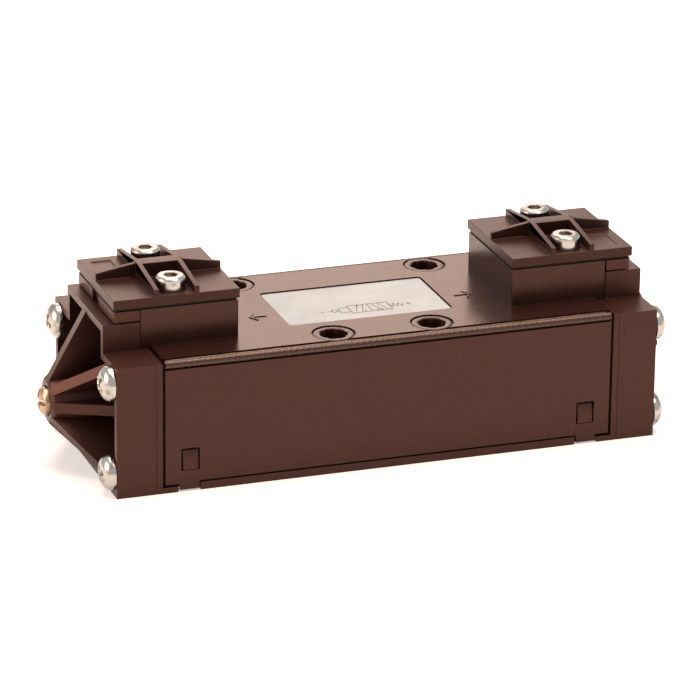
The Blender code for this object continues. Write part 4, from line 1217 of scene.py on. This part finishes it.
@dataclass
class ReturnSpring:
    """The round-wire return spring, built at one length; the real one shortens towards the spring
    cap with the spool.
    """

    solid: bpy.types.Object
    dress: Piece
    axis_z: float = 15.8 * MM
    radius: float = 3.35 * MM
    wire: float = 0.45 * MM
    turns: int = 8
    steps_a_turn: int = 40
    closed_pitch: float = 0.954 * MM
    fixed_end: float = 72.34 * MM
    travel: float = 4.0 * MM
    columns: int = 16

    def build(self) -> None:
        """Sweeps a circle along a helix whose first and last turns lie close.

        With a the angle round the axis and b the angle round the wire, a point lies at
        along + wire * cos(b) on X and at radius + wire * sin(b) from the axis.
        """
        ends = np.array([corner.co.x for corner in self.solid.data.vertices])
        low, high = ends.min() + self.wire, ends.max() - self.wire
        turn = np.linspace(0, self.turns, self.turns * self.steps_a_turn + 1)[:, None]
        knots = (0, 1, self.turns - 1, self.turns)
        places = (low, low + self.closed_pitch, high - self.closed_pitch, high)
        angle = 2 * math.pi * turn
        around = once_round(self.columns)[None, :]
        wire = np.full_like(turn, self.wire)
        wire[[0, -1]] = 0.0
        distance = self.radius + wire * np.sin(around)
        x = np.interp(turn, knots, places) + wire * np.cos(around)
        y, z = distance * np.cos(angle), distance * np.sin(angle) + self.axis_z
        sheet = Sheet(np.stack((x, y, z), axis=-1), wrap_columns=True)
        item = mesh_of("return_spring_wire", [sheet], 60)
        self.dress.settle(item, Body.HOUSING, "steel", "steel", ["return_spring"])
        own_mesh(item)


@dataclass
class FootShadeWalls:
    """Small dark walls behind the end plates' feet, which close the view through their gaps:
    painted shade for the contact shadow under the valve.
    """

    dress: Piece
    near_x: float = 47.6 * MM
    far_x: float = 51.2 * MM
    near_y: float = 21.5 * MM
    far_y: float = 22.5 * MM
    low: float = 0.2 * MM
    high: float = 1.9 * MM

    def build(self) -> None:
        """Makes one wall at each corner of the underside."""
        sheets = []
        for x_sign in (-1.0, 1.0):
            for y_sign in (-1.0, 1.0):
                x_range = sorted((x_sign * self.near_x, x_sign * self.far_x))
                y = y_sign * (self.near_y + self.far_y) / 2
                path = np.array([(x, y) for x in x_range])
                sheets.append(ribbon(path, self.far_y - self.near_y, self.low, self.high))
        item = mesh_of("foot_painted_shade_walls", sheets)
        # The rubber finish here is painted shade, a dark stand-in for the shadow under the valve.
        self.dress.settle(item, Body.HOUSING, "rubber", "rubber")


@dataclass
class LabelSymbol:
    """The circuit symbol of a spring-return five-port valve, printed on the label."""

    dress: Piece
    surface_z: float = 31.81 * MM
    thickness: float = 0.03 * MM
    line: float = 0.2 * MM
    square: float = 4.9 * MM
    centre: tuple[float, float] = (1.8 * MM, -7.1 * MM)

    def strips(self) -> list[Sheet]:
        """The symbol's lines: two squares, their arrows, the pilot's box and arrow, the spring.

        Each row is a line from (x, y) to (x, y), in squares: x is 0 on the line between both
        squares, and y goes from 0 to 1 over their height.

        Returns:
            One strip a line.
        """
        rows: list[Sequence[float]] = [
            (-1, 0, 1, 0), (-1, 1, 1, 1), (-1, 0, -1, 1), (0, 0, 0, 1), (1, 0, 1, 1),
            (-0.8, 0, -0.5, 1), (-0.56, 0.82, -0.5, 1), (-0.42, 0.84, -0.5, 1),
            (-0.2, 1, -0.5, 0), (-0.3, 0, -0.3, 0.18), (-0.35, 0.18, -0.25, 0.18),
            (0.2, 1, 0.5, 0), (0.42, 0.16, 0.5, 0), (0.56, 0.18, 0.5, 0),
            (0.8, 0, 0.5, 1), (0.3, 0, 0.3, 0.18), (0.25, 0.18, 0.35, 0.18),
            (-1.52, 0.2, -1, 0.2), (-1.52, 0.8, -1, 0.8), (-1.52, 0.2, -1.52, 0.8),
            (-1.86, 0.28, -1.86, 0.72), (-1.86, 0.28, -1.56, 0.5), (-1.86, 0.72, -1.56, 0.5),
            (-2.12, 0.5, -1.92, 0.5), (-2.46, 0.5, -2.26, 0.5),
            (1.86, 0.5, 2.02, 0.36), (1.86, 0.5, 2.02, 0.64), (2.02, 0.36, 2.02, 0.64),
        ]
        zigzag = [(1 + 0.12 * step, 0.28 if step % 2 else 0.72) for step in range(7)]
        rows += [(*first, *second) for first, second in zip(zigzag, zigzag[1:])]
        top = self.surface_z + self.thickness
        sheets = []
        for row in rows:
            start, end = np.array(row).reshape(2, 2) * self.square
            path = straight(start, end, 3) + np.array(self.centre)
            sheets.append(ribbon(path, self.line, self.surface_z, top))
        return sheets

    def build(self) -> None:
        """Makes the print as one piece."""
        item = mesh_of("label_symbol", self.strips())
        self.dress.settle(item, Body.HOUSING, "ink", "label")


@dataclass
class EndMarks:
    """A small raised arrow beside the label at each end, which points to that end's pilot."""

    dress: Piece
    top: float = 32.1 * MM
    proud: float = 0.18 * MM
    sunk: float = 0.05 * MM
    line: float = 0.4 * MM
    centre: tuple[float, float] = (25.2 * MM, -3.6 * MM)
    size: float = 2.0 * MM
    barb_back: float = 0.7
    barb_aside: float = 1.1

    def build(self) -> None:
        """Makes both arrows, each of a shaft and two barbs that meet at the tip."""
        for end in End:
            x, y = end.value * self.centre[0], self.centre[1]
            tip = np.array((x + end.value * self.size, y))
            starts = [np.array((x - end.value * self.size, y))]
            for aside in (self.barb_aside, -self.barb_aside):
                starts.append(tip + np.array((-self.barb_back * end.value, aside)) * self.size)
            low, high = self.top - self.sunk, self.top + self.proud
            sheets = [ribbon(straight(start, tip, 4), self.line, low, high) for start in starts]
            item = mesh_of(f"{end.word}_arrow", sheets)
            self.dress.settle(item, Body.HOUSING, "housing", "paint")


@dataclass
class PlainNodes:
    """Gives the solids that are shown as they are their finishes.

    The first word of the rules that a solid's name holds names its finish.
    """

    nodes: dict[str, bpy.types.Object]
    finishes: Finishes
    rules: tuple[tuple[str, str], ...] = (
        ("seal", "rubber"),
        ("gasket", "rubber"),
        ("port_spacer", "acetal"),
        ("liner", "acetal"),
        ("pilot_piston", "acetal"),
        ("spring_guide", "acetal"),
        ("clip", "steel"),
        ("label_plate", "film"),
        ("spool", "aluminium"),
    )

    def build(self) -> None:
        """Assigns a finish to each shown solid."""
        for name, item in sorted(self.nodes.items()):
            if item.hide_render:
                continue
            finish = next((f for word, f in self.rules if word in name), "housing")
            item.data.materials.clear()
            item.data.materials.append(self.finishes.get(finish))
            LOG.info("%s keeps its solid, as %s", name, finish)


@dataclass(frozen=True)
class Softbox:
    """A square lamp that points at the valve and is not seen itself.

    Its width is in metres and its power in watts.
    """

    name: str
    place: tuple[float, float, float]
    width: float
    power: float
    tone: Colour

    def hang(self) -> None:
        """Adds the lamp to the scene."""
        data = bpy.data.lights.new(self.name, "AREA")
        data.shape = "SQUARE"
        data.size = self.width
        data.energy = self.power
        data.color = self.tone
        item = linked(self.name, data)
        item.location = self.place
        item.rotation_euler = (-Vector(self.place)).to_track_quat("-Z", "Y").to_euler()
        item.visible_camera = False


@dataclass
class Studio:
    """The camera, the lamps, the world and the floor."""

    place: tuple[float, float, float] = (-0.330505, -0.932769, 0.390994)
    right: tuple[float, float, float] = (0.944366, -0.3286891, 0.0116767)
    down: tuple[float, float, float] = (-0.1051449, -0.3353534, -0.9362065)
    ahead: tuple[float, float, float] = (0.3116366, 0.8828939, -0.3512564)
    focal_pixels: float = 4502.01
    frame_pixels: float = 700.0
    sensor: float = 36.0
    floor_tone: Colour = (0.80, 0.80, 0.80)
    floor_lift: float = 0.45
    floor_half: float = 4.0
    sky_light: float = 0.27
    lamps: tuple[Softbox, ...] = (
        Softbox("top_softbox", (0.05, 0.20, 1.2), 0.8, 15.0, WARM),
        Softbox("edge_softbox", (0.42, -0.42, 1.15), 0.55, 7.5, AMBER),
        Softbox("rear_softbox", (0.16, 1.05, 0.52), 0.66, 2.8, AMBER),
        Softbox("left_softbox", (-1.25, 0.05, 0.55), 0.8, 13.5, AMBER),
    )

    def camera(self) -> None:
        """Makes the camera: its columns are right, up and backwards."""
        data = bpy.data.cameras.new("studio_camera")
        data.sensor_fit = "HORIZONTAL"
        data.sensor_width = self.sensor
        data.lens = self.focal_pixels / self.frame_pixels * self.sensor
        data.clip_end = 20.0
        item = linked("studio_camera", data)
        columns = (Vector(self.right), -Vector(self.down), -Vector(self.ahead))
        turn = Matrix(columns).transposed().to_4x4()
        item.matrix_world = Matrix.Translation(self.place) @ turn
        bpy.context.scene.camera = item

    def world(self) -> None:
        """A world that is white to the camera and in reflections, and dim as a light."""
        world = bpy.data.worlds.new("studio_world")
        sky = Nodes(world)
        white, dim = (
            sky.node("ShaderNodeBackground", None, {"Strength": level})
            for level in (1.0, self.sky_light)
        )
        both = sky.node("ShaderNodeMixShader", None, {0: sky.seen(), 1: dim, 2: white})
        sky.node("ShaderNodeOutputWorld", None, {"Surface": both})
        bpy.context.scene.world = world

    def floor(self) -> None:
        """A white floor that keeps the shadow: its own colour, lifted where it is seen."""
        far = self.floor_half
        corners = np.array([[(x, y, 0.0) for x in (-far, far)] for y in (-far, far)])
        item = mesh_of("studio_floor", [Sheet(corners)])
        material = bpy.data.materials.new("studio_white")
        paint = Nodes(material)
        matt = paint.node("ShaderNodeBsdfDiffuse", None, {"Color": self.floor_tone})
        lift = paint.node("ShaderNodeEmission", None, {"Strength": self.floor_lift})
        total = paint.node("ShaderNodeAddShader", None, {0: matt, 1: lift})
        both = paint.node("ShaderNodeMixShader", None, {0: paint.seen(), 1: matt, 2: total})
        paint.node("ShaderNodeOutputMaterial", None, {"Surface": both})
        item.data.materials.append(material)

    def build(self) -> None:
        """Sets up everything round the valve."""
        self.camera()
        self.world()
        self.floor()
        for lamp in self.lamps:
            lamp.hang()
        bpy.context.scene.view_settings.view_transform = "Standard"


def main() -> None:
    """Builds the studio and every piece in order."""
    logging.basicConfig(level=logging.INFO, format="%(name)s %(message)s")
    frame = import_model()
    finishes = Finishes(Palette())
    dress = Piece(finishes)
    builders = (
        Studio(),
        Castings(frame["nodes"], dress),
        PanScrews(dress),
        SocketScrews(dress),
        OverridePin(dress),
        EdgeBeads(dress),
        HoleRims(dress),
        FootShadeWalls(dress),
        ReturnSpring(frame["nodes"]["return_spring"], dress),
        LabelSymbol(dress),
        EndMarks(dress),
        PlainNodes(frame["nodes"], finishes),
    )
    for builder in builders:
        builder.build()
        LOG.info("%s done", type(builder).__name__)


if __name__ == "__main__":
    main()
